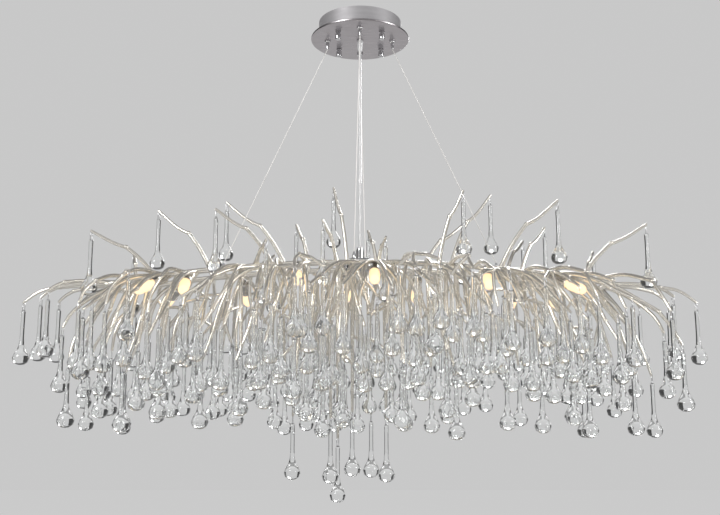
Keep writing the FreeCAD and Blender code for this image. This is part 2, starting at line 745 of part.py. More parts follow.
def add_skirt_branch(zone, x, side, reach, fall, angle, index):
    """Try a few scattered tips for one skirt branch, and keep the first that is clear."""
    oval = math.sqrt(1.0 - (x / (SKIRT_OVAL * RAIL_HALF_LENGTH)) ** 2)
    shares = HIGH_BENDS if angle >= 0 else LOW_BENDS
    for attempt in range(SKIRT_TRIES):
        kind = 3 * attempt
        seat = rail_seat(x + ROOT_SHIFT * attempt / SKIRT_TRIES * chance(index, kind), side, angle)
        out = reach * oval + TIER_REACH_SPREAD / 2 * chance(index, kind)
        down = fall + TIER_FALL_SPREAD / 2 * chance(index, kind + 1)
        splay = 1.0 + SKIRT_SPLAY + END_SPLAY * (x / RAIL_HALF_LENGTH) ** 2
        along = x * splay + TIP_SIDE_SPREAD / 2 * chance(index, kind + 2)
        tip = Vector(along, side * out, rail_height(x) - down)
        if zone.grow(seat, bends_between(seat[0], tip, shares, BEND_SIDE_STEP), tip):
            break


def centre():
    """Long branches that hang low in the middle, from the inner sides of the rails."""
    zone = Zone("centre")
    for root, side, reach in CENTRE:
        seat = rail_seat(root * RAIL_HALF_LENGTH, side, CENTRE_ROOT_ANGLE)
        tip = tip_from_rail(root, side, reach)
        grow_placed(zone, seat, tip, CENTRE_BENDS, Vector(0, 0, -2) * TIP_STEP)
    return [zone]


os.makedirs("parts", exist_ok=True)
canopy()
frame()
suspension()
lamps()
zones = list(crown()) + fans() + centre() + skirt()
for zone in zones:
    zone.write()
branch_count = sum(len(zone.branches) for zone in zones)
print("branches and drops:", branch_count, "swinging drops and their hooks:", len(hinges))
for name, hook in hinges:
    print(name, round(hook.x, 3), round(hook.y, 3), round(hook.z, 3))
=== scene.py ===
import json
import logging
import math
import random
from collections.abc import Callable
from dataclasses import dataclass, field
from enum import Enum

import bmesh
import bpy
import numpy as np
from mathutils import Matrix, Vector


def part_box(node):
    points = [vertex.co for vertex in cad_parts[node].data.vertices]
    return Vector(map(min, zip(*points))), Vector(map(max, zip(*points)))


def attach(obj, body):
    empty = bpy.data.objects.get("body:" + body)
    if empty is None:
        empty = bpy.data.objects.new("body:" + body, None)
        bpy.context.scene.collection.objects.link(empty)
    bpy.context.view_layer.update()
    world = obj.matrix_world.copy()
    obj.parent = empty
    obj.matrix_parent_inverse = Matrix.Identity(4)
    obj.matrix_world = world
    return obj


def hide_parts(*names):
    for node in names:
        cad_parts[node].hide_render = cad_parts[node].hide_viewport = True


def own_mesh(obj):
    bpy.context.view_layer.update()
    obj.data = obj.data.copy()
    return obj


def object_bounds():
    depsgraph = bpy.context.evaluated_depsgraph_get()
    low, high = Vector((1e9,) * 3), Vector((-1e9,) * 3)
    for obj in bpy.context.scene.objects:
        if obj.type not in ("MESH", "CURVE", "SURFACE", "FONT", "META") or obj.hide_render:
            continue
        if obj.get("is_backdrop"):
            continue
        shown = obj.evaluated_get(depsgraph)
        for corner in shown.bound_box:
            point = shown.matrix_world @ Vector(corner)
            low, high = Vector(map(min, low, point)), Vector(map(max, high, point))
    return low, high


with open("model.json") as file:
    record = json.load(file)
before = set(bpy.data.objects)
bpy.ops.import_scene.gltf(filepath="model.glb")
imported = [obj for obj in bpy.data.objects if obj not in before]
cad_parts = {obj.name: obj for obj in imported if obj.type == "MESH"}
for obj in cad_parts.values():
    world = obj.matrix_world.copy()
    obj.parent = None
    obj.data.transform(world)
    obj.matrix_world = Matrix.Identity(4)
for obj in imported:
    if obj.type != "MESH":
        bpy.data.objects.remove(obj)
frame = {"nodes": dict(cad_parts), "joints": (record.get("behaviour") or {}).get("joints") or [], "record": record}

MM = 0.001
SAME_PLACE = 0.01 * MM
LEVEL = 0.1 * MM
SEED = 7
Piece = bpy.types.Object
Socket = bpy.types.NodeSocket
Triple = tuple[float, float, float]
Profile = list[tuple[float, float]]
Rows = tuple[tuple[int, float, float, float], ...]
Rod = tuple[Vector, Vector, float]
Line = list[tuple[Vector, float]]
Island = tuple[list[Vector], list[list[int]]]
log = logging.getLogger("chandelier")


class Slot(Enum):
    """Material slots of the record that the dressed pieces take their finish from."""

    SATIN_STEEL = "satin_steel"
    BRIGHT_CHROME = "bright_chrome"
    ZINC_STEEL = "zinc_steel"
    STEEL_WIRE = "steel_wire"
    CLEAR_FLEX = "clear_flex"
    TERMINAL_PLASTIC = "terminal_plastic"
    PLATED_BRANCH = "plated_branch"
    LAMP_CHROME = "lamp_chrome"
    FROSTED_BULB = "frosted_bulb"
    CLEAR_GLASS = "clear_glass"


class Edge(Enum):
    """Turn between faces, in degrees, up to which they are shaded smooth."""

    RIM = 25.0
    CRISP = 35.0
    SOFT = 50.0
    ROUND = 60.0
    GLASS = 70.0
    LINK = 80.0
    BEAD = 180.0


class NodeDraft:
    """A node tree in the making, with short ways to add and join its nodes."""

    def __init__(self, owner: bpy.types.Material | bpy.types.World, output: str) -> None:
        """Start with the output node alone.

        Args:
            owner: The material or the world that the nodes are for.
            output: Kind of the output node, as in add.
        """
        owner.use_nodes = True
        self.tree = owner.node_tree
        self.tree.nodes.clear()
        self.output = self.add(output)

    def add(self, kind: str, **settings: object) -> bpy.types.Node:
        """Add one node.

        Args:
            kind: Blender's name of the node type, without the leading "ShaderNode".
            settings: Properties of the node, or values or sockets for its inputs, with underscores for spaces.

        Returns:
            The new node.
        """
        node = self.tree.nodes.new("ShaderNode" + kind)
        for key, value in settings.items():
            if hasattr(node, key):
                setattr(node, key, value)
            elif isinstance(value, Socket):
                self.join(value, node.inputs[key.replace("_", " ")])
            else:
                node.inputs[key.replace("_", " ")].default_value = value
        return node

    def join(self, start: Socket, end: Socket) -> None:
        """Join an output socket to an input socket."""
        self.tree.links.new(start, end)

    def place(self, scale: Triple = (1.0, 1.0, 1.0)) -> Socket:
        """Object coordinates, stretched along X, Y and Z."""
        place = self.add("TexCoord").outputs["Object"]
        return self.add("Mapping", Scale=scale, Vector=place).outputs["Vector"]

    def noise(self, place: Socket, scale: float, detail: float = 4.0) -> Socket:
        """A noise pattern at a place, by its waves per metre and its number of finer layers."""
        return self.add("TexNoise", Scale=scale, Detail=detail, Vector=place).outputs["Fac"]

    def surface(self, **settings: object) -> Socket:
        """The usual shader, with values or sockets for its inputs."""
        return self.add("BsdfPrincipled", **settings).outputs["BSDF"]

    def spread(self, value: Socket, low: float, high: float) -> Socket:
        """Spread the middle half of a pattern's value from low to high."""
        node = self.add("MapRange", Value=value, From_Min=0.25, From_Max=0.75, To_Min=low, To_Max=high)
        return node.outputs["Result"]

    def tints(self, value: Socket, first: Triple, second: Triple) -> Socket:
        """Blend two colours by a pattern's value.

        Args:
            value: Socket with the pattern's value.
            first: Colour where the value is low.
            second: Colour where it is high.

        Returns:
            The socket with the colour.
        """
        ramp = self.add("ValToRGB", Fac=value)
        for stop, position, colour in zip(ramp.color_ramp.elements, (0.3, 0.7), (first, second)):
            stop.position = position
            stop.color = (*colour, 1.0)
        return ramp.outputs["Color"]

    def bump(self, height: Socket, strength: float, depth: float) -> Socket:
        """Turn a pattern's value into bumps, by the share of the effect and their height in metres."""
        return self.add("Bump", Strength=strength, Distance=depth, Height=height).outputs["Normal"]


@dataclass(frozen=True)
class Finish:
    """A named finish. Each kind makes a shader of its own."""

    name: str

    def shader(self, draft: NodeDraft) -> Socket:
        """Build the shader in a draft of the material."""
        raise NotImplementedError

    def material(self) -> bpy.types.Material:
        """Build the material.

        Returns:
            The new material.
        """
        material = bpy.data.materials.new(self.name)
        draft = NodeDraft(material, "OutputMaterial")
        draft.join(self.shader(draft), draft.output.inputs["Surface"])
        return material


@dataclass(frozen=True)
class MetalFinish(Finish):
    """A metal with slight shifts of tone, smears in its gloss, and fine bumps."""

    tone: Triple
    shade: Triple
    gloss: tuple[float, float]
    waves: float
    bump_depth: float
    bump_waves: float
    metallic: float = 1.0
    stretch: Triple = (1.0, 1.0, 1.0)
    bump_detail: float = 2.0
    bump_strength: float = 0.6

    def shader(self, draft: NodeDraft) -> Socket:
        """Build the metal's shader.

        Args:
            draft: Node tree of the material.

        Returns:
            The socket with the shader.
        """
        place = draft.place(self.stretch)
        pattern = draft.noise(place, self.waves)
        dents = draft.noise(place, self.bump_waves, self.bump_detail)
        return draft.surface(
            Metallic=self.metallic, Base_Color=draft.tints(pattern, self.shade, self.tone),
            Roughness=draft.spread(pattern, self.gloss[1], self.gloss[0]),
            Normal=draft.bump(dents, self.bump_strength, self.bump_depth),
        )


@dataclass(frozen=True)
class GlassFinish(Finish):
    """Clear drawn glass with faint ripples."""

    name: str = "clear_drawn_glass"
    tint: Triple = (0.985, 0.992, 0.99)
    paler: float = 0.008
    index: float = 1.5
    ripple_waves: float = 120.0
    ripple_depth: float = 0.00012
    ripple_strength: float = 0.35

    def shader(self, draft: NodeDraft) -> Socket:
        """Build the glass shader.

        Args:
            draft: Node tree of the material.

        Returns:
            The socket with the shader.
        """
        pattern = draft.noise(draft.place(), self.ripple_waves, detail=1.0)
        pale = tuple(min(1.0, part + self.paler) for part in self.tint)
        return draft.surface(
            Roughness=0.0, IOR=self.index, Transmission_Weight=1.0,
            Base_Color=draft.tints(pattern, self.tint, pale),
            Normal=draft.bump(pattern, self.ripple_strength, self.ripple_depth),
        )


@dataclass(frozen=True)
class BulbFinish(Finish):
    """Frosted glass lit from within: brightest in the middle, warmer towards its rim."""

    name: str = "lit_frosted_glass"
    base: Triple = (0.16, 0.13, 0.09)
    glow: Triple = (1.0, 0.68, 0.36)
    core: Triple = (1.0, 0.80, 0.53)
    strength: float = 1.25
    roughness: float = 0.45
    rim: float = 0.35
    grain_waves: float = 900.0
    grain_strength: float = 0.25
    grain_depth: float = 0.0001

    def shader(self, draft: NodeDraft) -> Socket:
        """Build the lit bulb's shader.

        Args:
            draft: Node tree of the material.

        Returns:
            The socket with the shader.
        """
        grain = draft.noise(draft.place(), self.grain_waves, detail=2.0)
        facing = draft.add("LayerWeight", Blend=self.rim).outputs["Facing"]
        return draft.surface(
            Roughness=self.roughness, Base_Color=(*self.base, 1.0),
            Emission_Color=draft.tints(facing, self.core, self.glow), Emission_Strength=self.strength,
            Normal=draft.bump(grain, self.grain_strength, self.grain_depth),
        )


@dataclass(frozen=True)
class PlasticFinish(Finish):
    """A moulded or drawn plastic."""

    tone: Triple
    shade: Triple
    roughness: float
    clearness: float = 0.0
    coat: float = 0.0
    index: float = 1.45
    waves: float = 220.0
    bump_strength: float = 0.3
    bump_depth: float = 0.0001

    def shader(self, draft: NodeDraft) -> Socket:
        """Build the plastic's shader.

        Args:
            draft: Node tree of the material.

        Returns:
            The socket with the shader.
        """
        pattern = draft.noise(draft.place(), self.waves)
        return draft.surface(
            Roughness=self.roughness, IOR=self.index, Transmission_Weight=self.clearness,
            Coat_Weight=self.coat, Base_Color=draft.tints(pattern, self.shade, self.tone),
            Normal=draft.bump(pattern, self.bump_strength, self.bump_depth),
        )


@dataclass(frozen=True)
class StudioFinish(Finish):
    """A plain matte surface of the studio."""

    tone: float

    def shader(self, draft: NodeDraft) -> Socket:
        """Build the studio surface's shader."""
        return draft.add("BsdfDiffuse", Color=(self.tone, self.tone, self.tone, 1.0)).outputs["BSDF"]


@dataclass
class Finishes:
    """All finishes of the chandelier, by the record's material slots."""

    made: dict[Slot, bpy.types.Material] = field(default_factory=dict)

    def prepare(self) -> None:
        """Build every finish once."""
        kinds = {
            Slot.SATIN_STEEL: MetalFinish(
                "satin_steel", tone=(0.52, 0.49, 0.505), shade=(0.46, 0.435, 0.45), gloss=(0.26, 0.34),
                waves=40.0, bump_depth=0.00001, bump_waves=600.0, stretch=(1.0, 10.0, 10.0),
            ),
            Slot.BRIGHT_CHROME: MetalFinish(
                "bright_chrome", tone=(0.80, 0.80, 0.81), shade=(0.70, 0.70, 0.72), gloss=(0.03, 0.09),
                waves=90.0, bump_depth=0.00002, bump_waves=400.0,
            ),
            Slot.ZINC_STEEL: MetalFinish(
                "zinc_steel", tone=(0.55, 0.56, 0.58), shade=(0.42, 0.43, 0.46), gloss=(0.28, 0.45),
                waves=70.0, bump_depth=0.00005, bump_waves=300.0,
            ),
            Slot.STEEL_WIRE: MetalFinish(
                "stranded_steel", tone=(0.86, 0.84, 0.82), shade=(0.80, 0.78, 0.76), gloss=(0.42, 0.50),
                waves=40.0, bump_depth=0.000005, bump_waves=200.0, metallic=0.5,
            ),
            Slot.PLATED_BRANCH: MetalFinish(
                "plated_branch", tone=(0.97, 0.93, 0.86), shade=(0.88, 0.84, 0.76), gloss=(0.12, 0.24),
                waves=110.0, bump_depth=0.0002, bump_waves=150.0, metallic=0.82,
            ),
            Slot.LAMP_CHROME: MetalFinish(
                "lamp_chrome", tone=(0.84, 0.81, 0.76), shade=(0.74, 0.71, 0.67), gloss=(0.06, 0.13),
                waves=90.0, bump_depth=0.00002, bump_waves=300.0,
            ),
            Slot.CLEAR_FLEX: PlasticFinish(
                "clear_flex", tone=(0.97, 0.97, 0.97), shade=(0.90, 0.90, 0.91), roughness=0.12,
                clearness=0.45, coat=0.4,
            ),
            Slot.TERMINAL_PLASTIC: PlasticFinish(
                "terminal_plastic", tone=(0.84, 0.83, 0.80), shade=(0.76, 0.75, 0.72), roughness=0.5
            ),
            Slot.FROSTED_BULB: BulbFinish(),
            Slot.CLEAR_GLASS: GlassFinish(),
        }
        self.made = {slot: finish.material() for slot, finish in kinds.items()}

    def give(self, piece: Piece, slot: Slot, own: Finish | None = None) -> None:
        """Put one finish on a piece: the slot's usual one, or the piece's own.

        Args:
            piece: The piece.
            slot: Slot of the record.
            own: A finish of the piece's own, in place of the slot's usual one.
        """
        piece.data.materials.clear()
        piece.data.materials.append(own.material() if own else self.made[slot])

    def give_node(self, node: str, slot: Slot) -> None:
        """Put one finish on a piece of the frame that keeps its own mesh.

        Args:
            node: Name of the piece.
            slot: Slot of the record.
        """
        piece = frame["nodes"][node]
        if not piece.material_slots:
            piece.data.materials.append(self.made[slot])
        for place in piece.material_slots:
            place.material = self.made[slot]


def clear_choice() -> None:
    """Deselect everything, so that the next operator acts only on what it makes."""
    if bpy.context.mode != "OBJECT":
        bpy.ops.object.mode_set(mode="OBJECT")
    bpy.ops.object.select_all(action="DESELECT")


def choose(*pieces: Piece) -> None:
    """Select these pieces only, with the first one active."""
    clear_choice()
    for piece in pieces:
        piece.select_set(True)
    bpy.context.view_layer.objects.active = pieces[0]


def pick_corners(piece: Piece, test: Callable[[Vector], bool]) -> None:
    """Go into edit mode on a piece with only the corners selected that pass a test.

    Args:
        piece: The piece to edit.
        test: Whether a corner's place is wanted.
    """
    choose(piece)
    bpy.ops.object.mode_set(mode="EDIT")
    bpy.ops.mesh.select_mode(type="VERT")
    bpy.ops.mesh.select_all(action="DESELECT")
    bpy.ops.object.mode_set(mode="OBJECT")
    for corner in piece.data.vertices:
        corner.select = test(corner.co)
    bpy.ops.object.mode_set(mode="EDIT")


def named(name: str) -> Piece:
    """Name the active piece and its mesh.

    Args:
        name: The name.

    Returns:
        The piece.
    """
    piece = bpy.context.view_layer.objects.active
    piece.name = name
    piece.data.name = name
    return piece


def joined(name: str, pieces: list[Piece]) -> Piece:
    """Join pieces into one.

    Args:
        name: Name of the joined piece.
        pieces: The pieces, at least one.

    Returns:
        The joined piece.
    """
    choose(*pieces)
    if len(pieces) > 1:
        bpy.ops.object.join()
    return named(name)


def smooth(piece: Piece, edge: Edge) -> None:
    """Shade a piece smooth, with sharp edges where its faces turn more than the edge says."""
    choose(piece)
    bpy.ops.object.shade_smooth_by_angle(angle=math.radians(edge.value))


def outline(levels: tuple[float, ...], radius: float, rows: Rows) -> Profile:
    """Lathe profile in metres from rows of a level's number, mm above it, a share of the radius and mm more."""
    return [(levels[level] + rise * MM, radius * share + more * MM) for level, rise, share, more in rows]


def up(height: float) -> Vector:
    """A step straight up."""
    return Vector((0, 0, height))


def span(node: str) -> tuple[tuple[float, float], float]:
    """Lowest and highest height of a node of the frame, and half its width."""
    low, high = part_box(node)
    return (low.z, high.z), (high.x - low.x) / 2


def turned(name: str, profile: Profile, steps: int) -> Piece:
    """Turn a profile about the Z axis, as on a lathe.

    Args:
        name: Name of the piece.
        profile: Points as (height, radius) in metres, in order.
        steps: Number of sides.

    Returns:
        The turned piece, with closed ends where the profile starts or ends on the axis.
    """
    clear_choice()
    bpy.ops.mesh.primitive_plane_add(size=MM, location=(0, 0, 0))
    bpy.ops.object.mode_set(mode="EDIT")
    bpy.ops.mesh.select_all(action="SELECT")
    bpy.ops.mesh.merge(type="CENTER")
    height, radius = profile[0]
    bpy.ops.transform.translate(value=(radius, 0, height))
    for next_height, next_radius in profile[1:]:
        step = (next_radius - radius, 0, next_height - height)
        bpy.ops.mesh.extrude_region_move(TRANSFORM_OT_translate={"value": step})
        height, radius = next_height, next_radius
    bpy.ops.mesh.select_all(action="SELECT")
    bpy.ops.mesh.spin(steps=steps, angle=2.0 * math.pi, center=(0, 0, 0), axis=(0, 0, 1))
    bpy.ops.mesh.select_all(action="SELECT")
    bpy.ops.mesh.remove_doubles(threshold=SAME_PLACE)
    bpy.ops.mesh.select_all(action="SELECT")
    bpy.ops.mesh.normals_make_consistent(inside=False)
    bpy.ops.object.mode_set(mode="OBJECT")
    return named(name)


def stamped(name: str, pattern: Piece, places: list[Matrix]) -> Piece:
    """Copy a pattern to each place, each copy with its own mesh, and join the copies.

    Args:
        name: Name of the joined piece.
        pattern: The piece to copy, modelled at the origin.
        places: Where each copy goes.

    Returns:
        The joined copies.
    """
    copies = []
    for place in places:
        copy = pattern.copy()
        copy.data = pattern.data.copy()
        copy.data.transform(place)
        bpy.context.collection.objects.link(copy)
        copies.append(copy)
    return joined(name, copies)


def facing(place: Vector, ahead: Vector) -> Matrix:
    """A place for a copy, with +Z turned to the way ahead."""
    turn = up(1).rotation_difference(ahead).to_matrix().to_4x4()
    return Matrix.Translation(place) @ turn


def discard(*pieces: Piece) -> None:
    """Remove patterns once their copies are made."""
    for piece in pieces:
        bpy.data.objects.remove(piece)


@dataclass
class Route:
    """A twig's course: its points in metres, and its radius at each."""

    points: list[Vector]
    radii: list[float]


def even(points: list[Vector], radius: float) -> Route:
    """A course with the same radius all along."""
    return Route(points, [radius] * len(points))


def tubes(name: str, routes: list[Route], sides: int = 2, steps: int = 5, order: int = 3) -> Piece:
    """Smooth round rods along routes, as one mesh.

    Args:
        name: Name of the piece.
        routes: Course and radii of each rod.
        sides: Bevel resolution of the round section.
        steps: Steps between one point and the next.
        order: Order of the smooth line; 2 keeps straight lengths.

    Returns:
        The rods, joined in one piece.
    """
    clear_choice()
    bpy.ops.curve.primitive_nurbs_path_add(location=(0, 0, 0))
    piece = bpy.context.active_object
    line = piece.data
    line.splines.clear()
    line.dimensions = "3D"
    for route in routes:
        spline = line.splines.new("NURBS")
        spline.points.add(len(route.points) - 1)
        for point, place, radius in zip(spline.points, route.points, route.radii):
            point.co = (*place, 1.0)
            point.radius = radius / MM
        spline.use_endpoint_u = True
        spline.order_u = order
        spline.resolution_u = steps
    line.bevel_depth = MM
    line.bevel_resolution = sides
    line.use_fill_caps = True
    choose(piece)
    bpy.ops.object.convert(target="MESH")
    return named(name)


def islands(node: str) -> list[Island]:
    """The separate solids of a node of the frame.

    Args:
        node: Name of the node.

    Returns:
        For each solid the places of its corners, and for each corner the numbers of its neighbours.
    """
    mesh = bmesh.new()
    mesh.from_mesh(frame["nodes"][node].data)
    bmesh.ops.remove_doubles(mesh, verts=mesh.verts, dist=SAME_PLACE)
    mesh.verts.ensure_lookup_table()
    mesh.verts.index_update()
    seen = set()
    found = []
    for start in mesh.verts:
        if start.index in seen:
            continue
        seen.add(start.index)
        group = [start]
        for corner in group:
            for edge in corner.link_edges:
                other = edge.other_vert(corner)
                if other.index not in seen:
                    seen.add(other.index)
                    group.append(other)
        number = {corner.index: k for k, corner in enumerate(group)}
        places = [corner.co.copy() for corner in group]
        near = [[number[edge.other_vert(corner).index] for edge in corner.link_edges] for corner in group]
        found.append((places, near))
    mesh.free()
    return found


def middle(places: list[Vector]) -> Vector:
    """Mean of some places."""
    return sum(places, Vector()) / len(places)


def ring_line(places: list[Vector], near: list[list[int]], sides: int = 4) -> Line:
    """Centre line of a rod from its rings of corners.

    Args:
        places: Corners of the rod.
        near: Numbers of each corner's neighbours.
        sides: Corners in each ring.

    Returns:
        Centre and radius of each ring, from the thick end to the thin one.
    """
    for first in range(len(places)):
        for ring in squares(first, near):
            layers = [ring]
            used = set(ring)
            while layer := {other for corner in layers[-1] for other in near[corner]} - used:
                layers.append(layer)
                used |= layer
            if all(len(layer) == sides for layer in layers) and len(layers) * sides == len(places):
                line = []
                for layer in layers:
                    centre = middle([places[k] for k in layer])
                    line.append((centre, sum((places[k] - centre).length for k in layer) / sides))
                return line if line[0][1] >= line[-1][1] else line[::-1]
    return []


def squares(first: int, near: list[list[int]]) -> list[set[int]]:
    """Rings of four corners that go through one corner.

    Args:
        first: Number of the corner.
        near: Numbers of each corner's neighbours.

    Returns:
        The numbers of the corners of each ring.
    """
    return [
        {first, second, third, fourth}
        for second in near[first] for third in near[second] if third != first
        for fourth in near[third] if fourth not in (first, second) and first in near[fourth]
    ]


def top_centre(places: list[Vector]) -> Vector:
    """Centre of the highest ring of corners."""
    highest = max(place.z for place in places)
    return middle([place for place in places if place.z > highest - LEVEL])


def end_centres(places: list[Vector]) -> tuple[Vector, Vector]:
    """Centres of the lowest and the highest corners of an upright or leaning rod."""
    halfway = sum((place.z for place in places), 0.0) / len(places)
    return middle([p for p in places if p.z < halfway]), middle([p for p in places if p.z >= halfway])


class Room:
    """The space that rods and drops take up, as round-ended rods, to keep new ones clear of them."""

    columns: int = 7

    def __init__(self) -> None:
        """Start with no rods."""
        self.rows: list[tuple[float, ...]] = []
        self.table = np.zeros((0, self.columns))

    def take(self, start: Vector, end: Vector, radius: float) -> None:
        """Note one round-ended rod."""
        self.rows.append((*start, *end, radius))

    def least_gap(self, start: Vector, end: Vector, radius: float) -> float:
        """Least gap from a round-ended rod to all that is there.

        Args:
            start: One end of the rod.
            end: Other end of the rod.
            radius: Radius of the rod.

        Returns:
            The least gap in metres, below zero where they overlap.
        """
        if len(self.table) < len(self.rows):
            self.table = np.array(self.rows)
        first, other, radii = self.table[:, 0:3], self.table[:, 3:6], self.table[:, -1]
        least = 1e-12
        a = np.array(start)
        u = np.array(end) - a
        v = other - first
        w = a - first
        uu = max(float(u @ u), least)
        vv = np.maximum((v * v).sum(1), least)
        uv = v @ u
        uw = w @ u
        vw = (w * v).sum(1)
        area = uu * vv - uv * uv
        s = np.clip(np.where(area > least, (uv * vw - vv * uw) / np.maximum(area, least), 0.0), 0.0, 1.0)
        t = np.clip((uv * s + vw) / vv, 0.0, 1.0)
        s = np.clip((uv * t - uw) / uu, 0.0, 1.0)
        away = w + s[:, None] * u - t[:, None] * v
        return float((np.sqrt((away * away).sum(1)) - radii).min() - radius)


@dataclass
class Section:
    """A section of the light, with the finishes that it takes from and the space that its pieces share."""

    finishes: Finishes
    room: Room

    def settle(
        self, piece: Piece, slot: Slot, body: str, *nodes: str, edge: Edge | None = None, own: Finish | None = None
    ) -> Piece:
        """Finish a piece and tie it to the frame.

        Args:
            piece: The piece.
            slot: Its slot of the record.
            body: Body that it rides on.
            nodes: Nodes of the frame that it stands for.
            edge: How far its faces are shaded smooth; without it the shading stays.
            own: A finish of the piece's own, in place of the slot's usual one.

        Returns:
            The piece.
        """
        if edge:
            smooth(piece, edge)
        self.finishes.give(piece, slot, own)
        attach(piece, body)
        if nodes:
            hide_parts(*nodes)
        log.info("%s: %d faces", piece.name, len(piece.data.polygons))
        return piece

    def turn_copies(self, name: str, profile: Profile, steps: int, places: list[Matrix]) -> Piece:
        """Turn one pattern, and copy it to each place.

        Args:
            name: Name of the joined copies.
            profile: Points as (height, radius) in metres, in order.
            steps: Number of sides.
            places: Where each copy goes.

        Returns:
            The joined copies.
        """
        pattern = turned("pattern", profile, steps)
        copies = stamped(name, pattern, places)
        discard(pattern)
        return copies


@dataclass
class Drops(Section):
    """Glass drops with their wire links: the shape of one, and where each hangs."""

    link_top: float = 1.4 * MM
    link_length: float = 15.4 * MM
    link_half_width: float = 1.9 * MM
    link_sides: int = 10
    wire_radius: float = 0.55 * MM
    wire_sides: int = 5
    neck_depth: float = 11.0 * MM
    ball_depth: float = 93.8 * MM
    ball_radius: float = 14.0 * MM
    stem_radius: float = 4.4 * MM
    flare_rise: float = 0.6
    flare_share: float = 0.75
    swing: float = math.radians(10.0)
    profile: tuple[tuple[float, float], ...] = (
        (-11.0, 0.0), (-12.0, 2.9), (-14.4, 3.7), (-17.0, 3.6), (-30.0, 3.4), (-58.0, 3.5), (-71.0, 4.4),
        (-78.8, 6.7), (-85.6, 11.0), (-93.8, 14.0), (-100.8, 11.9), (-104.7, 6.6), (-105.8, 0.0),
    )
    sides: int = 10
    swinging_sides: int = 16
    scatter: tuple[float, float] = (977.0, 613.0)
    hooks: dict[str, list[Vector]] = field(default_factory=dict)
    swings: Room = field(default_factory=Room)
    patterns: tuple[Piece, ...] = ()

    def glass_pattern(self, sides: int) -> Piece:
        """One drop with its hook at the origin.

        Args:
            sides: Number of sides.

        Returns:
            The drop's glass.
        """
        glass = turned("drop_pattern", [(height * MM, radius * MM) for height, radius in self.profile], sides)
        smooth(glass, Edge.GLASS)
        return glass

    def link_pattern(self) -> Piece:
        """One long wire link with its top at the origin.

        Returns:
            The link.
        """
        clear_choice()
        bpy.ops.mesh.primitive_torus_add(
            major_radius=self.link_half_width, minor_radius=self.wire_radius, major_segments=self.link_sides,
            minor_segments=self.wire_sides, rotation=(math.pi / 2, 0, 0), location=(0, 0, 0),
        )
        bpy.ops.object.transform_apply(location=True, rotation=True, scale=True)
        link = bpy.context.active_object
        stretch = self.link_length - 2.0 * (self.link_half_width + self.wire_radius)
        pick_corners(link, lambda place: place.z < 0)
        bpy.ops.transform.translate(value=(0, 0, -stretch))
        bpy.ops.object.mode_set(mode="OBJECT")
        rise = self.link_top - self.link_half_width - self.wire_radius
        link.data.transform(Matrix.Translation((0, 0, rise)))
        smooth(link, Edge.LINK)
        return link

    def places(self, hooks: list[Vector]) -> list[Matrix]:
        """A place for each hook, each turned a little differently about its own upright axis.

        Args:
            hooks: Where the drops hang.

        Returns:
            Where each drop goes.
        """
        found = []
        for hook in hooks:
            turn = math.fmod(abs(hook.x) * self.scatter[0] + abs(hook.y) * self.scatter[1], math.pi)
            found.append(Matrix.Translation(hook) @ Matrix.Rotation(turn, 4, "Z"))
        return found

    def read(self) -> None:
        """Find the hooks of every drop in the frame, and note the drops' space and that of their swing."""
        for node in frame["nodes"]:
            if node.endswith(("_drop", "_drops")):
                self.hooks[node] = [top_centre(places) for places, _ in islands(node)]
                for hook in self.hooks[node]:
                    self.claim(hook, node.endswith("_drop"))

    def claim(self, hook: Vector, swings: bool) -> None:
        """Note the space of one drop.

        Args:
            hook: Where it hangs.
            swings: Whether it swings.
        """
        for rod in self.rods(hook, swings):
            self.room.take(*rod)
            if swings:
                self.swings.take(*rod)

    def rods(self, hook: Vector, swings: bool) -> list[Rod]:
        """Round-ended rods about one drop, and about its swing along X if it swings.

        Args:
            hook: Where it hangs.
            swings: Whether it swings.

        Returns:
            The rods.
        """
        neck = hook - up(self.neck_depth)
        ball = hook - up(self.ball_depth)
        flare = up(self.ball_radius * self.flare_rise)
        reach = self.ball_depth * math.tan(self.swing) if swings else 0.0
        found = [(ball - Vector((reach, 0, 0)), ball + Vector((reach, 0, 0)), self.ball_radius)]
        for side in (-1, 0, 1) if swings else (0,):
            place = ball + Vector((side * reach, 0, 0))
            found.append((neck, place, self.stem_radius))
            found.append((place, place + flare, self.ball_radius * self.flare_share))
        return found

    def build(self) -> None:
        """Dress every drop of the frame, and keep the patterns for more."""
        self.patterns = (
            self.glass_pattern(self.sides), self.glass_pattern(self.swinging_sides), self.link_pattern()
        )
        for node, hooks in sorted(self.hooks.items()):
            bodies = frame["record"]["behaviour"]["bodies"]
            body = next(name for name, members in bodies.items() if node in members)
            self.hang(node, hooks, body, node)
        log.info("drops of the frame: %d", sum(len(hooks) for hooks in self.hooks.values()))

    def hang(self, name: str, hooks: list[Vector], body: str, *nodes: str) -> None:
        """Hang glass and links from hooks.

        Args:
            name: First part of the pieces' names.
            hooks: Where the drops hang.
            body: Body that the drops ride on.
            nodes: Nodes of the frame that the glass stands for. One drop alone has finer glass there.
        """
        places = self.places(hooks)
        glass, finer, link = self.patterns
        drops = stamped(f"{name}_glass", finer if nodes and len(hooks) == 1 else glass, places)
        self.settle(drops, Slot.CLEAR_GLASS, body, *nodes)
        self.settle(stamped(f"{name}_links", link, places), Slot.BRIGHT_CHROME, body)


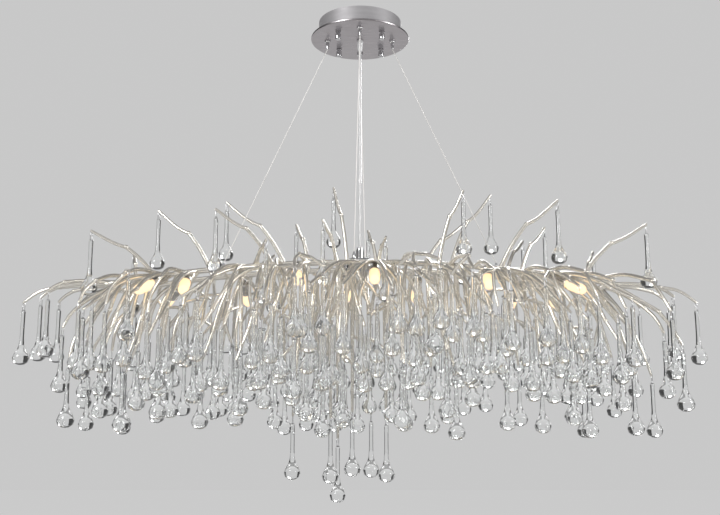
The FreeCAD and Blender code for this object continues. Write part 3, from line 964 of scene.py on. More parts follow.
@dataclass
class Twigs(Section):
    """Plated branches: each an arched rod with a bead at its knuckle, and a straighter last length."""

    sunk: float = 2.5 * MM
    root_flare: float = 1.2
    slim: float = 0.9
    arc_end_radius: float = 3.3 * MM
    last_radius: float = 2.9 * MM
    tip_radius: float = 2.35 * MM
    tip_edge: float = 0.5 * MM
    tip_share: float = 0.8
    knuckle_radius: float = 3.9 * MM
    knuckle_past: float = 0.8 * MM
    knuckle_stretch: float = 1.15
    bead_sides: int = 10
    bead_rings: int = 6
    lines: dict[str, list[Line]] = field(default_factory=dict)

    def read(self, hooks: list[Vector]) -> None:
        """Find the centre line of every branch in the frame, from root to tip, and note its space.

        Args:
            hooks: Hooks of all the drops; one hangs under each tip.
        """
        for node in frame["nodes"]:
            if node.endswith("_branches"):
                self.lines[node] = []
                for places, near in islands(node):
                    line = ring_line(places, near)
                    first, last = (min((hook - end[0]).length for hook in hooks) for end in (line[0], line[-1]))
                    line = line if last < first else line[::-1]
                    self.lines[node].append(line)
                    for (start, thick), (end, thin) in zip(line, line[1:]):
                        self.room.take(start, end, max(thick, thin) * self.slim)

    def knuckle(self, line: Line) -> int:
        """Number of the point of a branch's line where its knuckle is."""
        return len(line) // 2

    def route(self, line: Line) -> Route:
        """Course of one branch: sunk root, soft arc up to the knuckle, then on to a square tip.

        Args:
            line: Centre line of the branch.

        Returns:
            The course.
        """
        root, thick = line[0]
        ahead = (line[1][0] - root).normalized()
        points = [root - ahead * self.sunk, root + ahead * self.sunk]
        radii = [thick * self.slim * self.root_flare, thick * self.slim]
        bend = self.knuckle(line)
        points += [place for place, _ in line[1:bend]]
        radii += [radius * self.slim for _, radius in line[1:bend]]
        points += [line[bend][0]] + [place for place, _ in line[bend:-1]]
        radii += [self.arc_end_radius] + [self.last_radius] * (len(line) - 1 - bend)
        tip = line[-1][0]
        last = (tip - points[-1]).normalized()
        points += [tip - last * self.tip_edge, tip]
        return Route(points, radii + self.tip_radii())

    def tip_radii(self) -> list[float]:
        """Radii at the last two points of a twig, which give its tip a small edge."""
        return [self.tip_radius, self.tip_radius * self.tip_share]

    def knuckle_pattern(self) -> Piece:
        """The rounded end of a branch's arc, which shows as a bead at its knuckle.

        Returns:
            The bead, at the origin.
        """
        clear_choice()
        bpy.ops.mesh.primitive_uv_sphere_add(
            segments=self.bead_sides, ring_count=self.bead_rings, radius=self.knuckle_radius
        )
        bead = bpy.context.active_object
        bead.data.transform(Matrix.Diagonal((1.0, 1.0, self.knuckle_stretch, 1.0)))
        smooth(bead, Edge.BEAD)
        return bead

    def knuckle_place(self, before: Vector, place: Vector) -> Matrix:
        """Just past a branch's knuckle, with +Z along the arc that comes from a point before it."""
        ahead = (place - before).normalized()
        return facing(place + ahead * self.knuckle_past, ahead)

    def build(self) -> None:
        """Dress every branch of the frame."""
        for node, lines in sorted(self.lines.items()):
            bends = [(line, self.knuckle(line)) for line in lines]
            beads = [self.knuckle_place(line[bend - 1][0], line[bend][0]) for line, bend in bends]
            self.rods_and_beads(f"{node}_plated", [self.route(line) for line in lines], beads, node)
            log.info("%s: %d branches", node, len(lines))

    def rods_and_beads(self, name: str, routes: list[Route], beads: list[Matrix], *nodes: str) -> None:
        """Make plated twigs that ride on the light.

        Args:
            name: Name of the piece.
            routes: Courses of the rods.
            beads: Places of the knuckles' beads.
            nodes: Nodes of the frame that they stand for.
        """
        pieces = [tubes(f"{name}_rods", routes, steps=4)]
        if beads:
            bead = self.knuckle_pattern()
            pieces.append(stamped(f"{name}_beads", bead, beads))
            discard(bead)
        self.settle(joined(name, pieces), Slot.PLATED_BRANCH, "light", *nodes, edge=Edge.SOFT)


@dataclass
class Rails(Section):
    """The two long rails, the rungs, and the wiring hub between them."""

    rail_sides: int = 10
    rail_radius: float = 4.9 * MM
    end_share: float = 0.8
    rung_radius: float = 4.0 * MM
    arm_sunk: float = 0.2
    hub_steps: int = 48
    tube_steps: int = 24
    nut_steps: int = 20
    hub_spokes: int = 8
    hub_reach: float = 0.018
    hub_half_height: float = 12 * MM
    drum_rows: Rows = (
        (0, 0, 0, 0), (0, 0, 1, -1.2), (0, 0.4, 1, -0.3), (0, 1.4, 1, 0), (1, -6, 1, 0), (1, -3, 1, -0.9),
        (1, -1, 1, -2.9), (1, 0, 1, -5.5), (1, 0, 0, 0),
    )
    tube_rows: Rows = (
        (0, 0, 0, 0), (0, 0, 1, 0), (1, -4, 1, 0), (1, -3.6, 0.88, 0), (1, -0.8, 0.84, 0), (1, 0, 0.7, 0),
        (1, 0, 0, 0),
    )
    lid_rows: Rows = (
        (0, 0, 0, 0), (0, 0, 0.83, 0), (0, 0.6, 0.92, 0), (1, -0.5, 1, 0), (1, 0, 1, 0), (1, 0, 0, 0)
    )
    nut_rows: Rows = (
        (0, 0, 0, 0), (0, 0.2, 0.35, 0), (0, 1.2, 0.7, 0), (0, 3.4, 0.85, 0), (1, -2, 0.95, 0), (1, 0, 1, 0),
        (1, 0, 0, 0),
    )

    def rail_line(self, node: str) -> list[Vector]:
        """Centre line of one rail, from its rings of corners in order along X."""
        places = sorted(islands(node)[0][0], key=lambda place: place.x)
        return [middle(places[k:k + self.rail_sides]) for k in range(0, len(places), self.rail_sides)]

    def build(self) -> None:
        """Dress the rails, the rungs and the hub."""
        for node in ("rail_front", "rail_back"):
            line = self.rail_line(node)
            end = (line[0] - line[1]).normalized()
            far = (line[-1] - line[-2]).normalized()
            route = even([line[0], line[0] - end * MM, *line[1:-1], line[-1] - far * MM, line[-1]], self.rail_radius)
            route.radii[0] = route.radii[-1] = self.rail_radius * self.end_share
            rail = tubes(f"{node}_plated", [route], sides=4, steps=8)
            self.settle(rail, Slot.PLATED_BRANCH, "light", node, edge=Edge.ROUND)
            for start, stop in zip(line, line[1:]):
                self.room.take(start, stop, self.rail_radius)
        self.build_rungs()
        self.build_hub()

    def build_rungs(self) -> None:
        """Round rungs between the rails."""
        routes = []
        for places, _ in islands("rungs"):
            x = sum(place.x for place in places) / len(places)
            heights = [place.z for place in places]
            height = (min(heights) + max(heights)) / 2
            low, high = (Vector((x, pick(place.y for place in places), height)) for pick in (min, max))
            routes.append(even([low, (low + high) / 2, high], self.rung_radius))
        rungs = tubes("rungs_plated", routes, sides=3, steps=4)
        self.settle(rungs, Slot.PLATED_BRANCH, "light", "rungs", edge=Edge.ROUND)

    def build_hub(self) -> None:
        """The round hub with its arms, tube, lid and lid nut."""
        levels, radius = span("wiring_hub")
        drum = turned("hub_drum", outline(levels, radius, self.drum_rows), self.hub_steps)
        halfway = sum(levels) / 2
        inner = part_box("wiring_hub")[0].y + self.rung_radius * self.arm_sunk
        course = [Vector((0, y, halfway)) for y in (inner, 0, -inner)]
        arms = tubes("hub_arms", [even(course, self.rung_radius)], sides=4, steps=3)
        hub = joined("wiring_hub_chromed", [drum, arms])
        self.settle(hub, Slot.BRIGHT_CHROME, "light", "wiring_hub", edge=Edge.CRISP)
        for node, rows, steps, edge in (
            ("hub_tube", self.tube_rows, self.tube_steps, Edge.CRISP),
            ("hub_lid", self.lid_rows, self.hub_steps, Edge.CRISP),
            ("lid_nut", self.nut_rows, self.nut_steps, Edge.SOFT),
        ):
            piece = turned(f"{node}_chromed", outline(*span(node), rows), steps)
            self.settle(piece, Slot.BRIGHT_CHROME, "light", node, edge=edge)
        (_, high), radius = span("hub_tube")
        self.room.take(up(span("lid_nut")[0][0]), up(high), radius)
        for turn in range(self.hub_spokes):
            angle = 2.0 * math.pi * turn / self.hub_spokes
            spoke = Vector((self.hub_reach * math.cos(angle), self.hub_reach * math.sin(angle), halfway))
            self.room.take(up(halfway), spoke, self.hub_half_height)


@dataclass
class Sprig(Route):
    """The course of a twig that carries one drop, with its knuckle's bead if it has one, and the drop's hook."""

    bead: Matrix | None
    clear_from: float
    hook: Vector = field(default_factory=Vector)

    def rods(self) -> list[Rod]:
        """Round-ended rods about the twig, from a share of its first length on."""
        course = [self.points[0].lerp(self.points[1], self.clear_from)] + self.points[1:]
        return [(start, end, max(self.radii)) for start, end in zip(course, course[1:])]


@dataclass
class Infill(Section):
    """More twigs with a drop each, where there is room: long arcs from the rails, and shoots from knuckles."""

    rails: Rails
    twigs: Twigs
    drops: Drops
    arcs: dict[str, int] = field(default_factory=lambda: {"rail_front": 70, "rail_back": 30})
    arc_stations: int = 110
    arc_tries: int = 40
    arc_from_middle: float = 0.90
    arc_angles: tuple[float, float] = (-75.0, 25.0)
    arc_low_angle: float = -25.0
    arc_low_reach: float = 0.6
    arc_high_fall: float = 0.62
    arc_oval: float = 0.6
    arc_fan: tuple[float, float] = (0.16, 0.40)
    arc_scatter: float = 75 * MM
    arc_reach: tuple[float, float] = (14 * MM, 150 * MM)
    arc_further: float = 14 * MM
    arc_fall: tuple[float, float] = (60 * MM, 196 * MM)
    arc_shares: tuple[tuple[float, float], ...] = ((0.34, 0.08), (0.64, 0.40), (0.78, 0.68))
    arc_clear_from: float = 0.8
    ball_limit: float = 430 * MM
    shoots: dict[str, int] = field(default_factory=lambda: {
        "back_left": 22, "back_right": 22, "front_left": 14, "front_right": 14, "centre": 12, "left_end": 2,
        "right_end": 2,
    })
    shoot_tries: int = 24
    shoot_out: tuple[float, float] = (2 * MM, 40 * MM)
    shoot_aside: tuple[float, float] = (14 * MM, 44 * MM)
    shoot_fall: tuple[float, float] = (0.0, 46 * MM)
    shoot_rise: float = 0.07
    shoot_upright: float = 10 * MM
    shoot_clear_from: float = 0.6
    root_radius: float = 3.3 * MM
    last_radius: float = 2.8 * MM
    past_hook: float = 2 * MM
    gap: float = 0.8 * MM
    swing_gap: float = 2.5 * MM
    border: float = 6 * MM
    chance: random.Random = field(default_factory=lambda: random.Random(SEED))

    def build(self) -> None:
        """Grow the arcs rail by rail and the shoots zone by zone, and hang their drops."""
        count = 0
        for node, most in self.arcs.items():
            line = self.rails.rail_line(node)
            stations = list(range(self.arc_stations))
            self.chance.shuffle(stations)
            grown = []
            for station in stations:
                if len(grown) < most:
                    grown += self.try_often(self.arc_tries, lambda: self.arc(line, station))
            count += self.hang(f"{node}_arcs", f"{node}_arcs_drops", grown)
        for zone, most in self.shoots.items():
            lines = list(self.twigs.lines[f"{zone}_branches"])
            self.chance.shuffle(lines)
            grown = []
            for side in (-1, 1):
                for line in lines:
                    if len(grown) < most:
                        grown += self.try_often(self.shoot_tries, lambda: self.shoot(line, side))
            count += self.hang(f"{zone}_side_shoots", f"{zone}_side_drops", grown)
        log.info("more twigs with a drop each: %d", count)

    def arc(self, rail: list[Vector], station: int) -> Sprig:
        """One scattered long arc from a rail, which fans out towards the rail's end.

        Args:
            rail: Centre line of the rail.
            station: Number of its place along the rail.

        Returns:
            The arc.
        """
        chance = self.chance
        share = self.arc_from_middle * (2.0 * (station + chance.random()) / self.arc_stations - 1.0)
        spot = (share + 1.0) / 2.0 * (len(rail) - 1)
        number = min(int(spot), len(rail) - 2)
        centre = rail[number].lerp(rail[number + 1], spot - number)
        side = math.copysign(1.0, centre.y)
        angle = math.radians(chance.uniform(*self.arc_angles))
        root = centre + Vector((0, side * math.cos(angle), math.sin(angle))) * self.root_radius
        low = angle < math.radians(self.arc_low_angle)
        oval = math.sqrt(1.0 - (self.arc_oval * share) ** 2)
        reach = chance.uniform(*self.arc_reach) * oval * (self.arc_low_reach if low else 1.0)
        fall = chance.uniform(*self.arc_fall) * oval * (1.0 if low else self.arc_high_fall)
        spread = centre.x * chance.uniform(*self.arc_fan) + chance.uniform(-self.arc_scatter, self.arc_scatter)
        tip = centre + Vector((spread, side * (reach + self.arc_further), -fall))
        way = tip - root
        points = [root]
        for along, down in self.arc_shares:
            points.append(root + Vector((way.x * along, way.y * along, way.z * down)))
        bead = self.twigs.knuckle_place(points[-2], points[-1])
        radii = [self.root_radius] * 4 + [self.last_radius] * 2
        return Sprig(points + [points[-1], tip], radii, bead, self.arc_clear_from)

    def shoot(self, line: Line, side: int) -> Sprig:
        """One scattered shoot from a branch's knuckle.

        Args:
            line: Centre line of the branch.
            side: Side of the branch, -1 or 1.

        Returns:
            The shoot.
        """
        start = line[self.twigs.knuckle(line)][0]
        way = line[-1][0] - line[0][0]
        out = Vector((way.x, way.y, 0))
        out = out.normalized() if out.length > self.shoot_upright else Vector((0, 1, 0))
        across = Vector((-out.y, out.x, 0)) * side
        step = out * self.chance.uniform(*self.shoot_out) + across * self.chance.uniform(*self.shoot_aside)
        tip = start + step - up(self.chance.uniform(*self.shoot_fall))
        bend = start + (tip - start) * 0.5 + up(step.length * self.shoot_rise)
        return Sprig([start, bend, bend, tip], [self.last_radius] * 4, None, self.shoot_clear_from)

    def try_often(self, tries: int, make: Callable[[], Sprig]) -> list[Sprig]:
        """Make scattered sprigs until one has room for itself and its drop.

        Args:
            tries: How often to try.
            make: Makes one sprig.

        Returns:
            The sprig in a list, or an empty list where none fits.
        """
        low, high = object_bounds()
        edge = self.border + self.drops.ball_radius
        for _ in range(tries):
            sprig = make()
            sprig.hook = sprig.points[-1] - up(self.twigs.tip_radius)
            ball = sprig.hook - up(self.drops.ball_depth)
            if abs(ball.x) > self.ball_limit or not low.y + edge < ball.y < high.y - edge:
                continue
            rods = self.drops.rods(sprig.hook, False) + sprig.rods()
            if ball.z < low.z + edge or min(self.room.least_gap(*rod) for rod in rods) < self.gap:
                continue
            if self.drops.swings.least_gap(*sprig.points[:2], max(sprig.radii)) < self.swing_gap:
                continue
            for rod in rods:
                self.room.take(*rod)
            ahead = (sprig.points[-1] - sprig.points[-2]).normalized()
            end = sprig.points.pop() + ahead * self.past_hook
            sprig.points += [end - ahead * self.twigs.tip_edge, end]
            sprig.radii[-1:] = self.twigs.tip_radii()
            return [sprig]
        return []

    def hang(self, twigs: str, drops: str, grown: list[Sprig]) -> int:
        """Make the sprigs of one place with their drops.

        Args:
            twigs: Name of the twigs.
            drops: First part of the drops' names.
            grown: The sprigs.

        Returns:
            How many there are.
        """
        if grown:
            beads = [sprig.bead for sprig in grown if sprig.bead]
            self.twigs.rods_and_beads(twigs, grown, beads)
            self.drops.hang(drops, [sprig.hook for sprig in grown], "light")
        log.info("%s: %d", twigs, len(grown))
        return len(grown)


@dataclass
class Lamps(Section):
    """Lamp arms, chrome sockets and lit capsule bulbs along both rails."""

    socket_length: float = 30 * MM
    socket_radius: float = 9.6 * MM
    socket_clear: float = 10 * MM
    bulb_length: float = 38 * MM
    bulb_radius: float = 8.6 * MM
    bulb_clear: float = 9 * MM
    dome_height: float = 11 * MM
    dome_steps: int = 5
    arm_radius: float = 3.2 * MM
    arm_sunk: float = 1.5 * MM
    arm_flare: float = 1.3
    steps: int = 24
    socket_rows: Rows = (
        (0, 0, 0, 0), (0, 0, 0.55, 0), (0, 0.6, 0.74, 0), (0, 2.2, 0.86, 0), (0, 5, 0.90, 0), (1, -6, 0.92, 0),
        (1, -5.4, 1, 0), (1, -0.5, 1, 0), (1, 0, 0.97, 0), (1, 0, 0.84, 0), (1, -9, 0.82, 0), (1, -9, 0, 0),
    )
    bulb_rows: Rows = ((0, -8.7, 0, 0), (0, -8.7, 0.72, 0), (0, 1, 0.74, 0), (0, 3, 0.95, 0), (0, 5, 1, 0))
    lines: list[Line] = field(default_factory=list)

    def read(self) -> None:
        """Find each lamp's arm in the frame, and note the lamp's space."""
        for places, near in islands("lamp_arms"):
            line = ring_line(places, near)
            line = line if abs(line[0][0].y) < abs(line[-1][0].y) else line[::-1]
            self.lines.append(line)
            aim = self.aim(line)
            back = line[-1][0]
            mouth = back + aim * self.socket_length
            self.room.take(line[0][0], back, self.arm_radius)
            far = mouth + aim * (self.bulb_length - self.bulb_clear)
            self.room.take(back + aim * self.socket_clear, far, self.socket_radius)

    def aim(self, line: Line) -> Vector:
        """The way that one lamp points."""
        return (line[-1][0] - line[-2][0]).normalized()

    def build(self) -> None:
        """Dress arms, sockets and bulbs."""
        routes = []
        for line in self.lines:
            seat, elbow, back = (place for place, _ in line)
            sunk = seat - (elbow - seat).normalized() * self.arm_sunk
            route = even([sunk, seat, elbow, back, back + self.aim(line) * MM], self.arm_radius)
            route.radii[0] *= self.arm_flare
            routes.append(route)
        arms = tubes("lamp_arms_chromed", routes, sides=3, steps=4)
        self.settle(arms, Slot.LAMP_CHROME, "light", "lamp_arms", edge=Edge.ROUND)

        places = [facing(line[-1][0], self.aim(line)) for line in self.lines]
        length, radius = self.socket_length, self.bulb_radius
        profile = outline((0.0, length), self.socket_radius, self.socket_rows)
        sockets = self.turn_copies("lamp_sockets_chromed", profile, self.steps, places)
        self.settle(sockets, Slot.LAMP_CHROME, "light", "lamp_holders", edge=Edge.CRISP)

        profile = outline((length,), radius, self.bulb_rows)
        foot = length + self.bulb_length - self.dome_height
        for step in range(self.dome_steps + 1):
            angle = math.pi / 2 * step / self.dome_steps
            profile.append((foot + self.dome_height * math.sin(angle), radius * math.cos(angle)))
        bulbs = self.turn_copies("bulbs_lit", profile, self.steps, places)
        self.settle(bulbs, Slot.FROSTED_BULB, "light", "bulbs", edge=Edge.SOFT)
        log.info("lamps: %d", len(self.lines))


@dataclass
class Canopy(Section):
    """Ceiling canopy: box, cover plate with its fittings, and the bracket inside."""

    plate_steps: int = 96
    fitting_steps: int = 24
    bore_steps: int = 16
    holes: tuple[tuple[str, float], ...] = (
        ("bracket_studs", 2.3 * MM), ("wire_grippers", 3.2 * MM), ("cord_gland", 4.5 * MM)
    )
    nut_radius: float = 4.9 * MM
    gripper_radius: float = 5.4 * MM
    box_rows: Rows = ((0, 0, 1, -1.5), (0, 0, 1, 0), (1, 0, 1, 0), (1, 0, 1, -1.5), (0, 0, 1, -1.5))
    plate_rows: Rows = (
        (1, 0, 0, 0), (1, 0, 1, -0.5), (1, -0.5, 1, 0), (0, 1, 1, 0), (0, 0.45, 1, -0.25), (0, 0.12, 1, -0.7),
        (0, 0, 1, -1.3), (0, 0, 0, 0),
    )
    bore_rows: Rows = ((0, -1, 0, 0), (0, -1, 1, 0), (1, 1, 1, 0), (1, 1, 0, 0))
    nut_rows: Rows = (
        (0, 0, 0, 0), (0, 0.1, 0.45, 0), (0, 0.6, 0.75, 0), (0, 1.6, 0.94, 0), (0, 2.6, 1, 0), (1, -4, 1, 0),
        (1, -3.6, 0.86, 0), (1, -2.4, 0.86, 0), (1, -2, 1, 0), (1, -0.3, 1, 0), (1, 0, 0.95, 0),
        (1, 0, 0.45, 0), (1, -6, 0.45, 0), (1, -6, 0, 0),
    )
    gripper_rows: Rows = (
        (0, 0, 0, 0), (0, 0, 0, 1.7), (0, 0.3, 0, 2.1), (0, 2.6, 0, 2.3), (0, 3, 0, 2.8), (2, -4.2, 0, 3.2),
        (2, -3, 0.94, 0), (2, -2.4, 1, 0), (2, -0.4, 1, 0), (2, 0, 0.95, 0), (2, 0, 0, 3), (1, 0, 0, 3),
        (1, 0, 0, 0),
    )
    gland_rows: Rows = (
        (0, 0, 0, 2.6), (0, 0, 0, 3.7), (0, 0.7, 0, 4.1), (0, 9, 0, 5.3), (2, -5, 0, 5.6), (2, -4.6, 0, 5.9),
        (2, -0.5, 0, 5.9), (2, 0, 0, 5.6), (2, 0, 0, 4.2), (1, 0, 0, 4.2), (1, 0, 0, 2.6), (0, 0, 0, 2.6),
    )
    box_finish: Finish = MetalFinish(
        "satin_box", tone=(0.43, 0.42, 0.43), shade=(0.40, 0.39, 0.40), gloss=(0.50, 0.58),
        waves=30.0, bump_depth=0.00001, bump_waves=400.0, metallic=0.6, stretch=(1.0, 1.0, 6.0),
    )
    gland_finish: Finish = PlasticFinish(
        "milky_gland", tone=(0.97, 0.97, 0.97), shade=(0.92, 0.92, 0.93), roughness=0.18,
        clearness=0.12, coat=0.5,
    )

    def build(self) -> None:
        """Dress the canopy's pieces."""
        self.build_covers()
        self.build_fittings()
        for node, slot in (
            ("ceiling_bracket", Slot.ZINC_STEEL), ("bracket_studs", Slot.ZINC_STEEL),
            ("terminal_block", Slot.TERMINAL_PLASTIC), ("cord_tail", Slot.CLEAR_FLEX),
        ):
            self.finishes.give_node(node, slot)

    def build_covers(self) -> None:
        """Round box, and cover plate with a rounded rim and the holes for its fittings."""
        box = turned("canopy_box_satin", outline(*span("canopy_box"), self.box_rows), self.plate_steps)
        self.settle(box, Slot.SATIN_STEEL, "canopy", "canopy_box", edge=Edge.CRISP, own=self.box_finish)
        levels, radius = span("canopy_plate")
        plate = turned("canopy_plate_satin", outline(levels, radius, self.plate_rows), self.plate_steps)
        for node, hole in self.holes:
            for place in self.places(node):
                bore = turned("bore", outline(levels, hole, self.bore_rows), self.bore_steps)
                bore.data.transform(place)
                self.bore_out(plate, bore)
        self.settle(plate, Slot.SATIN_STEEL, "canopy", "canopy_plate", edge=Edge.RIM)

    def places(self, node: str) -> list[Matrix]:
        """A place above the middle of each separate piece of a node."""
        middles = [middle(corners) for corners, _ in islands(node)]
        return [Matrix.Translation((place.x, place.y, 0)) for place in middles]

    def bore_out(self, piece: Piece, bore: Piece) -> None:
        """Cut one piece out of another, and remove it.

        Args:
            piece: The piece to cut.
            bore: The piece that is cut out.
        """
        choose(piece)
        cut = piece.modifiers.new("bore", "BOOLEAN")
        cut.operation = "DIFFERENCE"
        cut.object = bore
        bpy.ops.object.modifier_apply(modifier=cut.name)
        discard(bore)

    def build_fittings(self) -> None:
        """Domed barrel nuts, cone-shaped wire grippers with a ringed nose, and the clear cord gland."""
        seat = span("canopy_plate")[0][0]
        for node, radius, rows in (
            ("cap_nuts", self.nut_radius, self.nut_rows), ("wire_grippers", self.gripper_radius, self.gripper_rows)
        ):
            profile = outline((*span(node)[0], seat), radius, rows)
            fittings = self.turn_copies(f"{node}_chromed", profile, self.fitting_steps, self.places(node))
            self.settle(fittings, Slot.BRIGHT_CHROME, "canopy", node, edge=Edge.CRISP)
        profile = outline((*span("cord_gland")[0], seat), 0.0, self.gland_rows)
        gland = turned("cord_gland_clear", profile, self.fitting_steps)
        self.settle(gland, Slot.CLEAR_FLEX, "canopy", "cord_gland", edge=Edge.CRISP, own=self.gland_finish)


@dataclass
class Suspension(Section):
    """Four steel wires with their feet, and the clear power cord with its two cores."""

    wire_radius: float = 0.85 * MM
    wire_steps: int = 24
    cord_radius: float = 2.6 * MM
    cord_steps: int = 16
    core_radius: float = 0.75 * MM
    core_turns: float = 14.0
    core_steps: int = 120
    foot_steps: int = 20
    foot_levels: tuple[float, ...] = (0.0, 1.0, 0.6, 0.66)
    foot_rows: Rows = (
        (0, 0, 0, 0), (0, 0, 0, 3.8), (0, 1, 0, 4), (0, 2.4, 0, 4), (0, 3, 0, 3.2), (2, 0, 0, 3), (3, 0, 0, 2.4),
        (1, -1, 0, 1.9), (1, 0, 0, 1.5), (1, 0, 0, 0),
    )
    travel: float = 0.0

    def build(self) -> None:
        """Dress the wires, their feet and the cord."""
        joint = next(joint for joint in frame["joints"] if joint["name"] == "height_adjust")
        self.travel = joint["range_m"][1]
        for node in ("wire_left", "wire_right", "wire_front", "wire_back"):
            low, high = end_centres(islands(node)[0][0])
            points = [low + (high - low) * (k / self.wire_steps) for k in range(self.wire_steps + 1)]
            wire = tubes(f"{node}_stranded", [even(points, self.wire_radius)], order=2, steps=1)
            self.settle(wire, Slot.STEEL_WIRE, "canopy", node, edge=Edge.ROUND)
            self.let_shorten(wire, low.z, high.z)
            self.room.take(low, high, self.wire_radius)
            self.room.take(low, high - up(self.travel), self.wire_radius)
        self.build_feet()
        self.build_cord()

    def let_shorten(self, piece: Piece, low: float, high: float) -> None:
        """Give a wire or the cord a mesh of its own; it does not shorten as the light is raised."""
        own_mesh(piece)

    def build_feet(self) -> None:
        """Turned feet where the wires meet the frame."""
        places = []
        for corners, _ in islands("wire_feet"):
            bottom = min(corner.z for corner in corners)
            height = max(corner.z for corner in corners) - bottom
            top = top_centre(corners)
            places.append(Matrix.Translation((top.x, top.y, bottom)))
        profile = outline(tuple(height * share for share in self.foot_levels), 0.0, self.foot_rows)
        feet = self.turn_copies("wire_feet_chromed", profile, self.foot_steps, places)
        self.settle(feet, Slot.BRIGHT_CHROME, "light", "wire_feet", edge=Edge.CRISP)

    def build_cord(self) -> None:
        """The clear sheath, and two twisted cores inside it."""
        (low, high), _ = span("power_cord")
        height = high - low
        points = [up(low + height * k / self.cord_steps) for k in range(self.cord_steps + 1)]
        sheath = tubes("power_cord_sheath", [even(points, self.cord_radius)], sides=3, steps=1, order=2)
        self.settle(sheath, Slot.CLEAR_FLEX, "canopy", "power_cord", edge=Edge.ROUND)
        routes = []
        for side in (0.0, math.pi):
            core = []
            for k in range(self.core_steps + 1):
                turn = side + 2.0 * math.pi * self.core_turns * k / self.core_steps
                rise = low + MM + (height - 2 * MM) * k / self.core_steps
                core.append(Vector((self.core_radius * math.cos(turn), self.core_radius * math.sin(turn), rise)))
            routes.append(even(core, self.core_radius))
        cores = tubes("power_cord_cores", routes, sides=1, steps=1)
        self.settle(cores, Slot.STEEL_WIRE, "canopy", edge=Edge.ROUND)
        for piece in (sheath, cores):
            self.let_shorten(piece, low, high)
        self.room.take(up(low), up(high), self.cord_radius)


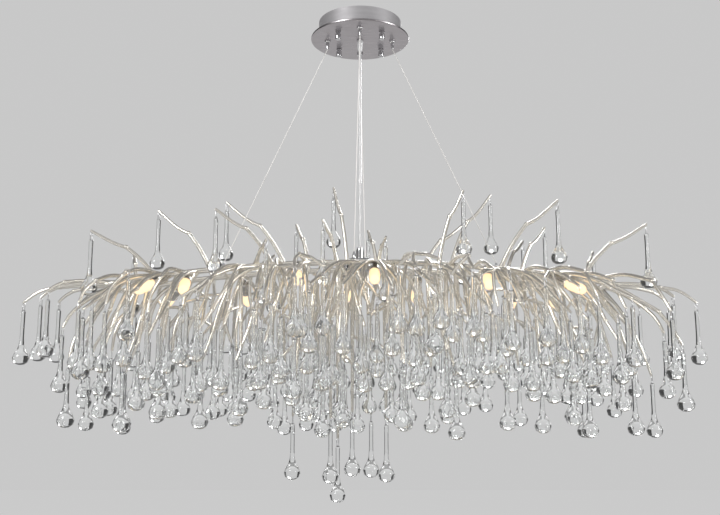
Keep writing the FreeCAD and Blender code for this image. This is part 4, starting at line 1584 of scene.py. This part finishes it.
@dataclass
class Studio:
    """Pale floor and surroundings, soft lamps, dark panels for contrast, and the photograph's camera angle."""

    lens: float = 45.0
    sensor: float = 36.0
    camera_place: Triple = (0.0, -1.55, -0.708)
    camera_pitch: float = 100.0
    floor_height: float = -2.4
    floor_size: float = 40.0
    backdrop: float = 0.58
    fill: float = 0.80
    floor_tone: float = 0.74
    lamp_target: Triple = (0.0, 0.0, -0.55)
    lamps: tuple[tuple[str, Triple, float, float], ...] = (
        ("key", (-1.7, -2.0, 0.5), 0.8, 30.0), ("side", (2.3, -0.9, 0.1), 0.8, 22.0),
        ("back", (0.6, 2.4, 0.7), 0.7, 20.0),
    )
    panels: tuple[tuple[str, Triple, tuple[float, float], tuple[float, float], float], ...] = (
        ("grey_front", (0.0, -3.2, -0.4), (5.0, 3.6), (90.0, 0.0), 0.34),
        ("dark_left", (-8.0, 4.0, 1.6), (14.0, 8.0), (90.0, 90.0), 0.06),
        ("dark_right", (8.0, 4.0, 1.6), (14.0, 8.0), (90.0, 90.0), 0.06),
        ("dark_top", (0.0, 1.8, 2.6), (12.0, 5.2), (0.0, 0.0), 0.12),
        ("dark_low", (0.0, 0.7, -2.36), (12.0, 3.2), (0.0, 0.0), 0.26),
    )

    def build(self) -> None:
        """Set up the floor, the lamps, the surroundings and the camera."""
        scene = bpy.context.scene
        scene.view_settings.view_transform = "Standard"
        self.build_floor()
        self.build_world()
        for lamp in self.lamps:
            self.add_lamp(*lamp)
        for panel in self.panels:
            self.add_panel(*panel)
        camera = bpy.data.cameras.new("camera")
        camera.lens = self.lens
        camera.sensor_width = self.sensor
        holder = bpy.data.objects.new("camera", camera)
        holder.location = self.camera_place
        holder.rotation_euler = (math.radians(self.camera_pitch), 0.0, 0.0)
        scene.collection.objects.link(holder)
        scene.camera = holder

    def build_floor(self) -> None:
        """A plain pale floor far below the light."""
        clear_choice()
        bpy.ops.mesh.primitive_plane_add(size=self.floor_size, location=(0, 0, self.floor_height))
        floor = bpy.context.active_object
        floor.name = "floor"
        floor.data.materials.append(StudioFinish("pale_floor", self.floor_tone).material())
        floor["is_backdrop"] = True

    def add_panel(
        self, name: str, place: Triple, size: tuple[float, float], turns: tuple[float, float], tone: float
    ) -> None:
        """Put up a dark panel that only metal and glass show.

        Args:
            name: Name of the panel.
            place: Its middle, in metres.
            size: Its width and height.
            turns: Its turns in degrees, first up from lying flat and then about the upright axis.
            tone: How bright its cloth is, from 0 to 1.
        """
        clear_choice()
        bpy.ops.mesh.primitive_plane_add(size=1.0, location=(0, 0, 0))
        panel = bpy.context.active_object
        panel.name = name
        turn = Matrix.Rotation(math.radians(turns[1]), 4, "Z") @ Matrix.Rotation(math.radians(turns[0]), 4, "X")
        panel.data.transform(Matrix.Translation(place) @ turn @ Matrix.Diagonal((*size, 1.0, 1.0)))
        panel.data.materials.append(StudioFinish(f"{name}_cloth", tone).material())
        panel.visible_camera = False
        panel.visible_diffuse = False
        panel.visible_shadow = False
        panel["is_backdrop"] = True

    def build_world(self) -> None:
        """Pale surroundings: one tone to the eye and in reflections, another as a light on the object."""
        world = bpy.data.worlds.new("surroundings")
        bpy.context.scene.world = world
        draft = NodeDraft(world, "OutputWorld")
        rays = draft.add("LightPath").outputs
        seen = draft.add("Math", operation="MAXIMUM")
        draft.join(rays["Is Camera Ray"], seen.inputs[0])
        draft.join(rays["Is Glossy Ray"], seen.inputs[1])
        through = draft.add("Math", operation="MAXIMUM")
        draft.join(seen.outputs["Value"], through.inputs[0])
        draft.join(rays["Is Transmission Ray"], through.inputs[1])
        lit = draft.add("Background", Color=(1.0, 1.0, 1.0, 1.0), Strength=self.fill)
        shown = draft.add("Background", Color=(self.backdrop, self.backdrop, self.backdrop, 1.0), Strength=1.0)
        mix = draft.add("MixShader", Fac=through.outputs["Value"])
        draft.join(lit.outputs["Background"], mix.inputs[1])
        draft.join(shown.outputs["Background"], mix.inputs[2])
        draft.join(mix.outputs["Shader"], draft.output.inputs["Surface"])

    def add_lamp(self, name: str, place: Triple, size: float, power: float) -> None:
        """Add one soft square lamp that points at the middle of the light.

        Args:
            name: Name of the lamp.
            place: Where it stands, in metres.
            size: Side of the square.
            power: Its power in watts.
        """
        light = bpy.data.lights.new(name, "AREA")
        light.size = size
        light.energy = power
        holder = bpy.data.objects.new(name, light)
        holder.location = place
        holder.visible_camera = False
        holder.rotation_mode = "QUATERNION"
        aim = Vector(self.lamp_target) - Vector(place)
        holder.rotation_quaternion = aim.to_track_quat("-Z", "Y")
        bpy.context.scene.collection.objects.link(holder)


def main() -> None:
    """Dress the whole light and set up the studio."""
    logging.basicConfig(level=logging.INFO, format="%(message)s")
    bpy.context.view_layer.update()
    finishes = Finishes()
    finishes.prepare()
    room = Room()
    drops = Drops(finishes, room)
    twigs = Twigs(finishes, room)
    lamps = Lamps(finishes, room)
    rails = Rails(finishes, room)
    drops.read()
    twigs.read([hook for hooks in drops.hooks.values() for hook in hooks])
    lamps.read()
    for section in (
        Canopy(finishes, room), Suspension(finishes, room), rails, lamps, twigs, drops,
        Infill(finishes, room, rails, twigs, drops),
    ):
        section.build()
    discard(*drops.patterns)
    Studio().build()


if __name__ == "__main__":
    main()
